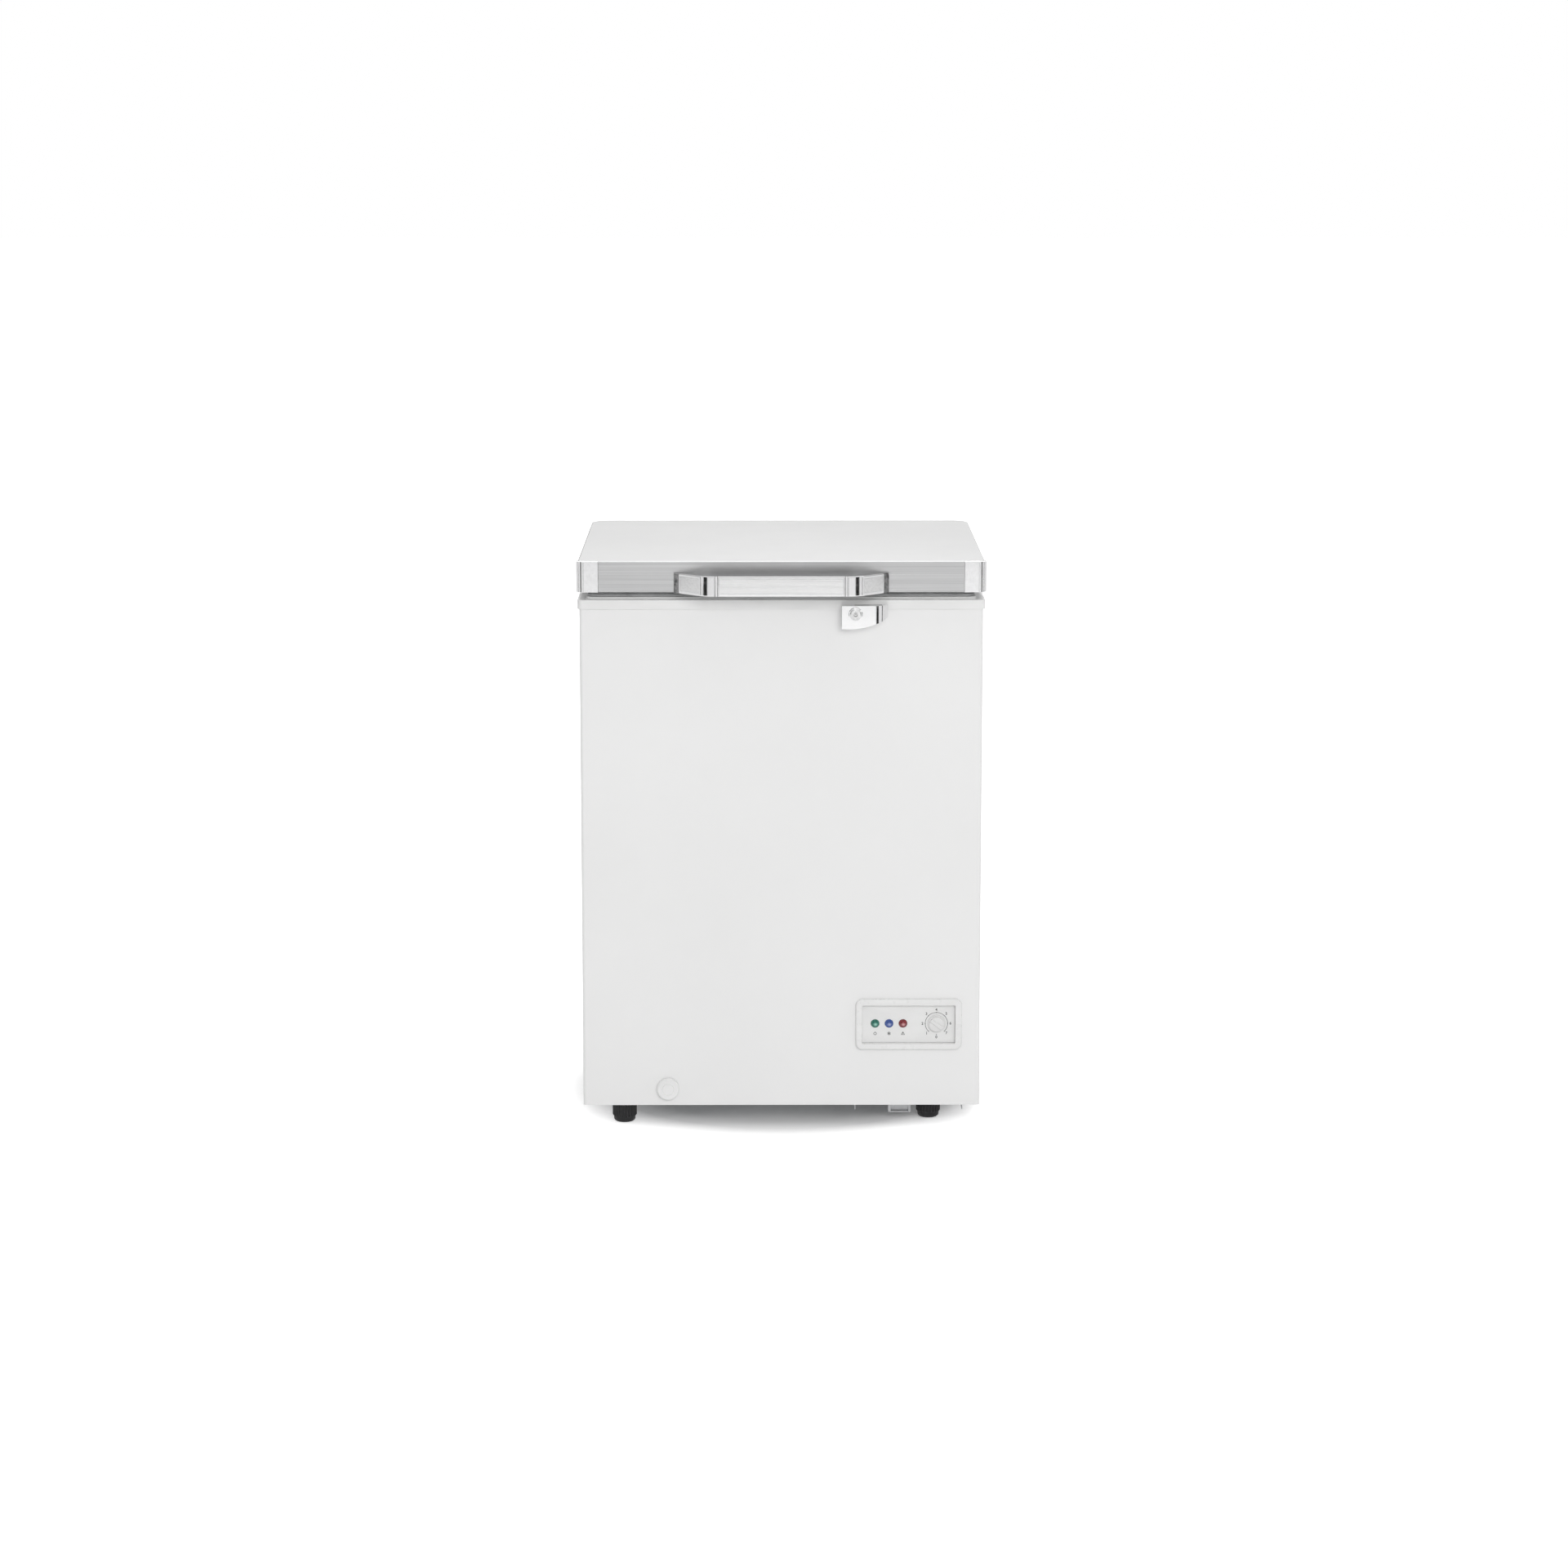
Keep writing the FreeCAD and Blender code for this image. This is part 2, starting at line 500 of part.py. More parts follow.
def lock_barrel():
    """Key barrel: a dished face with a tubular keyway."""
    front = Y_LOCK - 4.5
    length = Y_HOOK - front
    body = turned([(0, 0), (BARREL_R, 0), (BARREL_R, length - 1.5), (BARREL_R - 1.5, length), (0, length)],
                  V(BARREL_X, Y_HOOK, BARREL_Z), Y_AXIS * -1)
    dish = rod(V(BARREL_X, front - 1, BARREL_Z), Y_AXIS, 1.6, BARREL_R - 2.2)
    keyhole = V(BARREL_X, front, BARREL_Z)
    way = rod(keyhole, Y_AXIS, 6, 3.2).cut(rod(keyhole, Y_AXIS, 6, 1.7))
    notch = box(BARREL_X - 0.7, BARREL_X + 0.7, front, front + 5, BARREL_Z, BARREL_Z + 4.4)
    return body.cut(dish).cut(way).cut(notch)


def lock_hook():
    """Curved hook on a spoke behind the barrel; it swings up through the lock's top into the lid's trim."""
    def sector(r0, r1, a0, a1):
        ends = [math.radians(a) for a in (a0, (a0 + a1) / 2, a1)]

        def at(r, a):
            return V(BARREL_X + r * math.cos(a), Y_HOOK, BARREL_Z + r * math.sin(a))

        edges = [Part.Arc(at(r1, ends[0]), at(r1, ends[1]), at(r1, ends[2])).toShape(),
                 Part.makeLine(at(r1, ends[2]), at(r0, ends[2])),
                 Part.Arc(at(r0, ends[2]), at(r0, ends[1]), at(r0, ends[0])).toShape(),
                 Part.makeLine(at(r0, ends[0]), at(r1, ends[0]))]
        return Part.Face(Part.Wire(edges)).extrude(V(0, HOOK_THICK, 0))

    spoke_deg = 9.0
    arc = sector(HOOK_IN, HOOK_OUT, HOOK_FROM, HOOK_TO)
    spoke = sector(3.0, HOOK_IN + 1, HOOK_FROM, HOOK_FROM + spoke_deg)
    boss_r = 6.5
    boss = rod(V(BARREL_X, Y_HOOK, BARREL_Z), Y_AXIS, HOOK_THICK, boss_r)
    nut = rod(V(BARREL_X, Y_HOOK + HOOK_THICK - 0.2, BARREL_Z), Y_AXIS, 3.0, 4.0)
    return joined([arc, spoke, boss, nut])


# ---------------------------------------------------------------- cabinet sheet metal
WRAP_RADIUS = 5.0            # upright front corners of the wrapper
TRAY_X0 = X_COMP + FIT
TRAY_X1 = X_SIDE - 22.5
TRAY = 1.2
TRAY_FLANGE_Z = FLOOR_GAP - 14.0
TRAY_STEP = 28.0             # the side flanges start this far behind the front
STRAP_X = TRAY_X0 + 64.2
STRAP_W = 32.0
STRAP_Z = FLOOR_GAP - 18.0
CUTOUT_X0 = X_COMP + 4.0     # rear opening of the compressor compartment
CUTOUT_X1 = X_SIDE - 10.0
CUTOUT_Z0 = FLOOR_GAP + 16.0
CUTOUT_Z1 = Z_COMP - 8.0
COVER_LAP = 8.0
COVER = 1.0

HINGE_X = X_SIDE - 106.5
HINGE_W = 44.0
HINGE_SHEET = 1.5
HINGE_HEIGHT = 123.7
HINGE_TOP = Z_FRAME - FIT
HINGE_Z0 = HINGE_TOP - HINGE_HEIGHT
HINGE_HOLES = [(dx, z) for dx in (-13, 13) for z in (HINGE_Z0 + 14, HINGE_TOP - 16)]
COVER_HOLES = [(x, z) for x in (CUTOUT_X0 - 4, CUTOUT_X1 + 4) for z in (CUTOUT_Z0 + 10, CUTOUT_Z1 - 10)]
HINGE_GRIP = 5.0             # how far screws reach in from the back panel's face
COVER_GRIP = 2.0


VENT_ROWS = 9
VENT_PITCH = 14.0
VENT_SLOT = 5.0
VENT_LENGTH = 62.0
VENT_Y = (Y_BACK - 190.0, Y_BACK - 112.0)
VENT_Z = FLOOR_GAP + 57.0


def back_screws():
    """Head places and shank lengths of the screws in the cabinet's back."""
    places = []
    for side in (-1, 1):
        for dx, z in HINGE_HOLES:
            places.append((V(side * HINGE_X + dx, Y_BACK + HINGE_SHEET, z), HINGE_SHEET + HINGE_GRIP))
    for x, z in COVER_HOLES:
        places.append((V(x, Y_BACK + COVER, z), COVER + COVER_GRIP))
    return places


def wrapper():
    """Painted sheet folded round the front and sides, with lips at the back and the bottom."""
    corner = WRAP_RADIUS
    y_end = Y_BACK - SHEET - FIT
    outer = rounded(-X_SIDE, X_SIDE, Y_FRONT, y_end, FLOOR_GAP, Z_WRAP_TOP, (corner, corner, 0, 0))
    t = SHEET
    inner = rounded(-X_SIDE + t, X_SIDE - t, Y_FRONT + t, y_end - t, FLOOR_GAP + t, Z_WRAP_TOP + 1,
                    (corner - t, corner - t, 0, 0))
    rear = box(-X_SIDE + FLANGE, X_SIDE - FLANGE, Y_BACK - 30, Y_BACK, FLOOR_GAP - 1, Z_WRAP_TOP + 1)
    bottom = box(-X_SIDE + FLANGE, X_SIDE - FLANGE, Y_FRONT + FLANGE, Y_BACK, FLOOR_GAP - 1,
                 FLOOR_GAP + t + 0.5)
    window = front_slab(PANEL_X, PANEL_Z, WINDOW_W + 5 + 2 * FIT, WINDOW_H + 5 + 2 * FIT, Y_FRONT - 2,
                        Y_FRONT + 3, 3.3)
    drain = rod(V(DRAIN_X, Y_FRONT - 2, DRAIN_Z), Y_AXIS, 6, DRAIN_BORE + 0.5)
    vents = []
    for k in range(VENT_ROWS):
        for y in VENT_Y:
            vents.append(box(X_SIDE - 3, X_SIDE + 1, y, y + VENT_LENGTH, VENT_Z + k * VENT_PITCH,
                             VENT_Z + k * VENT_PITCH + VENT_SLOT))
    lip_holes = [screw_hole(at, Y_AXIS * -1, length) for at, length in back_screws()]
    return cut_all(outer.cut(inner), [rear, bottom, window, drain] + vents + lip_holes)


def back_panel():
    sheet = box(-X_SIDE, X_SIDE, Y_BACK - SHEET, Y_BACK, FLOOR_GAP, Z_WRAP_TOP)
    lip = box(-X_SIDE + FLANGE + FIT, X_SIDE - FLANGE - FIT, Y_BACK - FLANGE, Y_BACK - SHEET, FLOOR_GAP,
              FLOOR_GAP + SHEET)
    opening = box(CUTOUT_X0, CUTOUT_X1, Y_BACK - 5, Y_BACK + 1, CUTOUT_Z0, CUTOUT_Z1)
    holes = [screw_hole(at, Y_AXIS * -1, length) for at, length in back_screws()]
    return cut_all(joined([sheet, lip]), [opening] + holes)


def base_panel():
    """Stepped floor sheet: low under the tub, raised over the compressor compartment."""
    x0, x1 = -X_SIDE + SHEET + FIT, X_SIDE - SHEET - FIT
    y0, y1 = Y_FRONT + SHEET + FIT, Y_BACK - 2 * SHEET - 2 * FIT
    corner = WRAP_RADIUS - SHEET - FIT
    low = rounded(x0, X_COMP, y0, y1, Z_BASE, Z_BASE + SHEET, (corner, 0, 0, 0))
    wall = box(X_COMP - SHEET, X_COMP, y0, y1, Z_BASE, Z_COMP + SHEET)
    roof = rounded(X_COMP - SHEET, x1, y0, y1, Z_COMP, Z_COMP + SHEET, (0, corner, 0, 0))
    holes = foot_holes(["front_left", "back_left"]) + pipe_holes() + [capillary_hole()]
    return cut_all(joined([low, wall, roof]), holes)


def compressor_tray():
    """Galvanised tray with folded side flanges and a stiffening strap near the front."""
    y0, y1 = Y_FRONT + SHEET + FIT, Y_BACK - 2 * SHEET - FIT
    plate = box(TRAY_X0, TRAY_X1, y0, y1, Z_BASE, Z_BASE + TRAY)
    flanges = [box(x, x + TRAY, Y_FRONT + TRAY_STEP, y1 - TRAY_STEP, TRAY_FLANGE_Z, Z_BASE + TRAY)
               for x in (TRAY_X0, TRAY_X1 - TRAY)]
    half, wall = STRAP_W / 2, 3.5
    ys = Y_FRONT + TRAY_STEP
    strap = box(STRAP_X - half, STRAP_X + half, ys, ys + 30, STRAP_Z, Z_BASE)
    strap = strap.cut(box(STRAP_X - half + wall, STRAP_X + half - wall, ys - 1, ys + 31, STRAP_Z + 1.5,
                          Z_BASE + 1))
    tongue = box(STRAP_X - half + wall, STRAP_X + half - wall, ys + 5, ys + 6.5, STRAP_Z, Z_BASE)
    return cut_all(joined([plate, strap, tongue] + flanges), foot_holes(["front_right", "back_right"]))


def compartment_cover():
    """Louvred cover over the compartment's rear opening."""
    x0, x1 = CUTOUT_X0 - COVER_LAP, CUTOUT_X1 + COVER_LAP
    z0, z1 = CUTOUT_Z0 - COVER_LAP, CUTOUT_Z1 + COVER_LAP
    plate = box(x0, x1, Y_BACK, Y_BACK + COVER, z0, z1)
    pan = box(CUTOUT_X0 + 14, CUTOUT_X1 - 14, Y_BACK, Y_BACK + 6, CUTOUT_Z0 + 14, CUTOUT_Z1 - 14)
    hollow = box(CUTOUT_X0 + 15, CUTOUT_X1 - 15, Y_BACK - 1, Y_BACK + 5, CUTOUT_Z0 + 15, CUTOUT_Z1 - 15)
    body = joined([plate, pan]).cut(hollow)
    slots = []
    rows = 9
    pitch = (CUTOUT_Z1 - CUTOUT_Z0 - 70) / (rows - 1)
    for k in range(rows):
        z = CUTOUT_Z0 + 48 + k * pitch * 0.92
        for side in (-1, 1):
            x = (CUTOUT_X0 + CUTOUT_X1) / 2 + side * 30
            slots.append(box(x - 25, x + 25, Y_BACK - 1, Y_BACK + 8, z, z + 6))
    slots.append(rod(V(GLAND_X, Y_BACK - 2, GLAND_Z), Y_AXIS, 12, GLAND_R + FIT))
    slots += [screw_hole(V(x, Y_BACK + COVER, z), Y_AXIS * -1, COVER + COVER_GRIP) for x, z in COVER_HOLES]
    return cut_all(body, slots)


GLAND_X = CUTOUT_X0 + 36.0
GLAND_Z = CUTOUT_Z0 + 28.0
GLAND_R = 7.0


def cord_gland():
    """Bush where the supply lead would enter."""
    y = Y_BACK + 6
    bush = turned([(3.6, -6), (GLAND_R, -6), (GLAND_R, FIT), (GLAND_R + 3, FIT), (GLAND_R + 3, 2.5),
                   (GLAND_R - 1, 9), (3.6, 9)],
                  V(GLAND_X, y, GLAND_Z), Y_AXIS)
    return bush


# ---------------------------------------------------------------- tub, foam, top frame
LINER_LIP = 12.0


def liner_solid(out, z_top):
    """The tub's space grown outwards by an amount: deep at the left, shallow over the step."""
    r = TUB_RADIUS + out
    low = rounded(-X_TUB - out, X_STEP + out, Y_TUB_FRONT - out, Y_TUB_BACK + out, Z_TUB - out, Z_STEP + 30,
                  r)
    high = rounded(-X_TUB - out, X_TUB + out, Y_TUB_FRONT - out, Y_TUB_BACK + out, Z_STEP - out, z_top, r)
    return joined([low, high])


def liner():
    shell = liner_solid(SHEET, Z_LINER_TOP)
    rim = (-X_TUB - LINER_LIP, X_TUB + LINER_LIP, Y_TUB_FRONT - LINER_LIP, Y_TUB_BACK + LINER_LIP,
           TUB_RADIUS + LINER_LIP)
    lip = rounded(*rim[:4], Z_LINER_TOP - SHEET, Z_LINER_TOP, rim[4])
    shell = joined([shell, lip]).cut(liner_solid(0.0, Z_LINER_TOP + 5))
    return shell.cut(rod(V(DRAIN_X, DRAIN_FLOOR_Y, Z_TUB - 5), Z_AXIS, 10, DRAIN_BORE))


COIL_R = 4.0
COIL_PITCH = 62.0
COIL_Z0 = Z_STEP + 34.0
COIL_TURNS = int((Z_SHELF - 90.0 - COIL_Z0) / COIL_PITCH) + 1
COIL_RISER = 34.0
COND_R = 2.5
COND_PITCH = 60.0
COND_Z0 = FLOOR_GAP + 99.0
COND_RUNS = 2 * int((Z_SHELF - 110.0 - COND_Z0) / COND_PITCH / 2) + 1


def evaporator_coil():
    """Tube wound round the outside of the tub, rising at the back."""
    off = SHEET + FIT + COIL_R
    x, y0, y1 = X_TUB + off, Y_TUB_FRONT - off, Y_TUB_BACK + off
    bend = TUB_RADIUS + off
    rise = COIL_RISER / 2
    points = [V(rise, y1, COIL_Z0)]
    for k in range(COIL_TURNS):
        z = COIL_Z0 + k * COIL_PITCH
        points += [V(x, y1, z), V(x, y0, z), V(-x, y0, z), V(-x, y1, z)]
        if k < COIL_TURNS - 1:
            points += [V(-rise * 2, y1, z), V(-rise * 2 + 30, y1, z + COIL_PITCH)]
        else:
            points.append(V(-rise, y1, z))
    edges, start = [], points[0]
    for before, corner, after in zip(points, points[1:], points[2:]):
        into, out = (corner - before).normalize(), (after - corner).normalize()
        turn = into.getAngle(out)
        r = bend if abs(turn - math.pi / 2) < 1e-6 else 14.0
        back = r * math.tan(turn / 2)
        first, last = corner - into * back, corner + out * back
        middle = corner + (out - into).normalize() * (r / math.cos(turn / 2) - r)
        edges.append(Part.makeLine(start, first))
        edges.append(Part.Arc(first, middle, last).toShape())
        start = last
    edges.append(Part.makeLine(start, points[-1]))
    section = Part.Wire([Part.makeCircle(COIL_R, points[0], X_AXIS)])
    return Part.Wire(edges).makePipeShell([section], True, False)


def coil_room():
    """Grooves round the tub for the evaporator, and a slot at the back for its risers."""
    deep = SHEET + FIT + 2 * COIL_R + FIT
    inner = (-X_TUB - SHEET, X_TUB + SHEET, Y_TUB_FRONT - SHEET, Y_TUB_BACK + SHEET, TUB_RADIUS + SHEET)
    outer = (-X_TUB - deep, X_TUB + deep, Y_TUB_FRONT - deep, Y_TUB_BACK + deep, TUB_RADIUS + deep)
    half = COIL_R + FIT
    rooms = []
    for k in range(COIL_TURNS):
        z = COIL_Z0 + k * COIL_PITCH
        rooms.append(ring(outer, inner, z - half, z + half))
    top = COIL_Z0 + (COIL_TURNS - 1) * COIL_PITCH
    rooms.append(box(-COIL_RISER - 16, COIL_RISER, Y_TUB_BACK, Y_TUB_BACK + deep, COIL_Z0 - half, top + half))
    return rooms


def condenser_coil():
    """Serpentine tube taped to the inside of the left wall."""
    x = -X_SIDE + SHEET + FIT + COND_R
    y0, y1, r = Y_FRONT + 70, Y_BACK - 70, COND_PITCH / 2
    edges = []
    for k in range(COND_RUNS):
        z = COND_Z0 + k * COND_PITCH
        start, end = (y0, y1) if k % 2 == 0 else (y1, y0)
        edges.append(Part.makeLine(V(x, start, z), V(x, end, z)))
        if k < COND_RUNS - 1:
            bulge = end + (r if end > start else -r)
            edges.append(Part.Arc(V(x, end, z), V(x, bulge, z + r), V(x, end, z + COND_PITCH)).toShape())
    section = Part.Wire([Part.makeCircle(COND_R, V(x, y0, COND_Z0), Y_AXIS)])
    return Part.Wire(edges).makePipeShell([section], True, False)


def cabinet_foam():
    g = SHEET + FIT
    y_back = Y_BACK - 2 * SHEET - 2 * FIT
    block = rounded(-X_SIDE + g, X_SIDE - g, Y_FRONT + g, y_back, Z_BASE + SHEET + FIT,
                    Z_LINER_TOP - SHEET - FIT,
                    (WRAP_RADIUS - g, WRAP_RADIUS - g, 0, 0))
    rooms = [liner_solid(SHEET + FIT, Z_LINER_TOP + 5)]
    rooms.append(box(X_COMP - SHEET - FIT, X_SIDE, Y_FRONT, Y_BACK, FLOOR_GAP, Z_COMP + SHEET + FIT))
    rooms += coil_room() + drain_room() + pipe_holes() + [capillary_hole()]
    cond_top = COND_Z0 + (COND_RUNS - 1) * COND_PITCH
    rooms.append(box(-X_SIDE, -X_SIDE + g + 2 * COND_R + FIT, Y_FRONT + 36, Y_BACK - 36, COND_Z0 - 4,
                     cond_top + 4))
    for name in ("front_left", "back_left"):
        rooms.append(rod(V(*FEET[name], FLOOR_GAP), Z_AXIS, FOOT_NUT_H + 6, FOOT_NUT_R + 4))
    for at, length in back_screws():
        rooms.append(screw_hole(at, Y_AXIS * -1, length))
    return cut_all(block, rooms)


FRAME_RADIUS = 7.5
FRAME_RADIUS_BACK = 3.0
LAND_FROM = 12.0
LAND_TO = 36.0


def frame_rect(by):
    """Plan of the top frame moved in by an amount; the inner edges follow the tub's rounded corners."""
    x0, x1, y0, y1 = -X_FRAME + by, X_FRAME - by, Y_FRAME + by, Y_FRAME_BACK - by
    share = min(by / (INSULATION + FRAME_LIP), 1.0)
    front, back = (r + (TUB_RADIUS - r) * share for r in (FRAME_RADIUS, FRAME_RADIUS_BACK))
    return (x0, x1, y0, y1, (front, front, back, back))


def top_frame():
    """Moulded frame between wrapper and tub: skirt, ledge, sealing land, basket shelf, inner skirt."""
    width = INSULATION + FRAME_LIP
    lip = FRAME_LIP - FIT
    front, back = FRAME_RADIUS - lip, FRAME_RADIUS_BACK - lip
    skirt = ring(frame_rect(0), frame_rect(lip)[:4] + ((front, front, back, back),), Z_FRAME, Z_LEDGE)
    ledge = ring(frame_rect(0), frame_rect(LAND_FROM + PLASTIC), Z_LEDGE - PLASTIC, Z_LEDGE)
    land = ring(frame_rect(LAND_FROM), frame_rect(LAND_TO + PLASTIC), Z_LAND - PLASTIC, Z_LAND)
    riser = ring(frame_rect(LAND_FROM), frame_rect(LAND_FROM + PLASTIC), Z_LEDGE - PLASTIC, Z_LAND)
    drop = ring(frame_rect(LAND_TO), frame_rect(LAND_TO + PLASTIC), Z_SHELF - PLASTIC, Z_LAND)
    shelf = ring(frame_rect(LAND_TO), frame_rect(width + PLASTIC), Z_SHELF - PLASTIC, Z_SHELF)
    hem = ring(frame_rect(width + FIT), frame_rect(width + PLASTIC), Z_SHELF - 18, Z_SHELF)
    return joined([skirt, ledge, land, riser, drop, shelf, hem])


# ---------------------------------------------------------------- compressor compartment
COMP_X = X_COMP + 85.5
COMP_Y = Y_BACK - 145.0
COMP_R = 66.0
COMP_FOOT_Z = Z_BASE + TRAY + 14.0
COMP_BODY = 150.0
BOLT_X = 50.0
BOLT_Y = 78.0
DRYER_Y = Y_BACK - 245.0


def compressor():
    """Welded steel shell: cup, weld seam and dome on a pressed foot plate."""
    z = COMP_FOOT_Z + 3
    r = COMP_R
    profile = [(0, 6), (r * 0.55, 6), (r * 0.86, 14), (r * 0.97, 30), (r * 0.97, COMP_BODY * 0.60),
               (r + 2, COMP_BODY * 0.60), (r + 2, COMP_BODY * 0.64), (r * 0.95, COMP_BODY * 0.64), (r * 0.90, COMP_BODY * 0.80),
               (r * 0.70, COMP_BODY * 0.93),
               (r * 0.36, COMP_BODY), (0, COMP_BODY)]
    shell = turned(profile, V(COMP_X, COMP_Y, z))
    plate = rounded(COMP_X - BOLT_X - 12, COMP_X + BOLT_X + 12, COMP_Y - BOLT_Y - 12, COMP_Y + BOLT_Y + 12,
                    COMP_FOOT_Z, COMP_FOOT_Z + 3, 10)
    seat = rod(V(COMP_X, COMP_Y, COMP_FOOT_Z), Z_AXIS, 12, 30)
    holes = [rod(V(x, y, COMP_FOOT_Z - 1), Z_AXIS, 6, 4.5) for x, y in mount_places()]
    return cut_all(joined([shell, plate, seat]), holes)


def mount_places():
    return [(COMP_X + sx * BOLT_X, COMP_Y + sy * BOLT_Y) for sx in (-1, 1) for sy in (-1, 1)]


def mount_grommets():
    """Rubber feet between the compressor's plate and the tray."""
    feet = []
    z = Z_BASE + TRAY + FIT
    h = COMP_FOOT_Z - z - FIT
    for x, y in mount_places():
        feet.append(turned([(3.4, 0), (10, 0), (8, h * 0.45), (8, h * 0.6), (10, h), (3.4, h)], V(x, y, z)))
    return Part.makeCompound(feet)


def mount_bolts():
    """Bolts up through tray, rubber foot and plate: each a shank, a nut and a washer above."""
    bolts = []
    z = Z_BASE + TRAY + FIT
    for x, y in mount_places():
        shank = rod(V(x, y, z), Z_AXIS, COMP_FOOT_Z + 10 - z, 3.0)
        washer = rod(V(x, y, COMP_FOOT_Z + 3 + FIT), Z_AXIS, 1.5, 9.0)
        nut = rod(V(x, y, COMP_FOOT_Z + 4.5 + FIT), Z_AXIS, 4.0, 5.2)
        bolts.append(joined([shank, washer, nut]))
    return bolts


def relay_cover():
    """Plastic box over the compressor's starter, on its left side."""
    x1 = COMP_X - COMP_R * 0.97 + 9
    case = box(x1 - 26, x1 + 12, COMP_Y - 24, COMP_Y + 24, COMP_FOOT_Z + 36, COMP_FOOT_Z + 86)
    edges = [e for e in case.Edges if abs(e.Vertexes[0].Point.x - e.Vertexes[1].Point.x) < 1e-6
             and abs(e.Vertexes[0].Point.x - (x1 - 26)) < 1e-6]
    case = case.makeFillet(4.0, edges)
    keep_out = rod(V(COMP_X, COMP_Y, COMP_FOOT_Z), Z_AXIS, 200, COMP_R * 0.97 + FIT)
    return case.cut(keep_out)


PIPE_R = 3.0
SUCTION_Z = FLOOR_GAP + 169.0
DISCHARGE_Z = FLOOR_GAP + 139.0
LINE_Y = Y_BACK - 60.0


def pipe_holes():
    """Holes in the step wall for the suction pipe and the discharge pipe."""
    reach = 26.0
    places = [(LINE_Y, SUCTION_Z, PIPE_R), (DRYER_Y, DISCHARGE_Z, PIPE_R)]
    return [rod(V(X_COMP - reach, y, z), X_AXIS, reach + 4, r + 0.8) for y, z, r in places]


def pipework():
    """Suction line, discharge line with its filter dryer, and the sealed process stub."""
    into = X_COMP - 22
    shell_z = COMP_FOOT_Z + 3 + COMP_BODY * 0.5
    side = COMP_R * 0.97 + FIT
    suction = tube([V(COMP_X, COMP_Y + side, shell_z), V(COMP_X, LINE_Y, shell_z),
                    V(COMP_X, LINE_Y, SUCTION_Z),
                    V(into, LINE_Y, SUCTION_Z)], 12, PIPE_R)
    discharge = tube([V(COMP_X, COMP_Y - side, shell_z), V(COMP_X, DRYER_Y, shell_z),
                      V(COMP_X, DRYER_Y, DISCHARGE_Z),
                      V(into, DRYER_Y, DISCHARGE_Z)], 12, PIPE_R)
    stub = tube([V(COMP_X + 30, COMP_Y - 58.5 - FIT, shell_z - 30), V(COMP_X + 30, COMP_Y - 84, shell_z - 30),
                 V(COMP_X + 30, COMP_Y - 84, shell_z + 30)], 10, PIPE_R)
    return Part.makeCompound([suction, discharge, stub])


def filter_dryer():
    """Copper pencil round the discharge line."""
    x0 = X_COMP + 6
    pencil = turned([(PIPE_R + FIT, 0), (5, 3), (9, 12), (9, 52), (5, 61), (PIPE_R + FIT, 64)],
                    V(x0, DRYER_Y, DISCHARGE_Z), X_AXIS)
    return pencil


# ---------------------------------------------------------------- lid
TRIM = 1.2
X_CAP = X_LID - 31.0         # the caps start here
X_SKIN = X_LID - 1.5
Y_SKIN = Y_FRAME - 1.0       # the skin's front face, behind the trim's hollow
LID_CORNER = 25.0
Z_SKIN_BOTTOM = Z_LID


def lid_rect(by=0.0):
    return (-X_SKIN + by, X_SKIN - by, Y_SKIN + by, Y_LID_BACK - by)


def lid_block(by, z0, z1):
    r = max(LID_CORNER - by, 1)
    return rounded(*lid_rect(by), z0, z1, (0, 0, r, r))


def lid_skin():
    """Painted steel pan with a soft upper edge."""
    outer = lid_block(0, Z_LID, Z_LID_TOP)
    edges = [e for e in outer.Edges if all(abs(v.Point.z - Z_LID_TOP) < 1e-3 for v in e.Vertexes)
             and not all(abs(v.Point.y - Y_SKIN) < 1e-3 for v in e.Vertexes)]
    outer = outer.makeFillet(3.0, edges)
    hollow = lid_block(SHEET, Z_LID - 1, Z_LID_TOP - SHEET)
    holes = [screw_hole(at, into, length) for at, into, length in lid_screws()]
    return cut_all(outer.cut(hollow), holes)


LID_PANEL = 2.0
PLUG_IN = 56.0
PLUG_DROP = 6.0


def lid_liner():
    """Moulded inner panel with a shallow raised middle that hangs over the tub."""
    flat = lid_block(SHEET + FIT, Z_LID, Z_LID + LID_PANEL)
    x0, x1, y0, y1 = lid_rect(PLUG_IN)
    plug = rounded(x0, x1, Y_TUB_FRONT - 2, Y_TUB_BACK + 2, Z_LID - PLUG_DROP, Z_LID + LID_PANEL, 30)
    low_edges = [e for e in plug.Edges if all(abs(v.Point.z - (Z_LID - PLUG_DROP)) < 1e-3
                                              for v in e.Vertexes)]
    plug = plug.makeFillet(4.0, low_edges)
    hollow = rounded(x0 + LID_PANEL, x1 - LID_PANEL, Y_TUB_FRONT - 2 + LID_PANEL, Y_TUB_BACK + 2 - LID_PANEL,
                     Z_LID - PLUG_DROP + LID_PANEL, Z_LID + LID_PANEL + 1, 28)
    return joined([flat, plug]).cut(hollow)


def lid_foam():
    block = lid_block(SHEET + FIT, Z_LID + LID_PANEL + FIT, Z_LID_TOP - SHEET - FIT)
    holes = [rod(at + into * (SHEET * 0.5), into, length + 1, SCREW_R + 0.5)
             for at, into, length in lid_screws()]
    return cut_all(block, holes)


GASKET_IN = 9.0              # gasket inside the lid's side
GASKET_W = 15.0


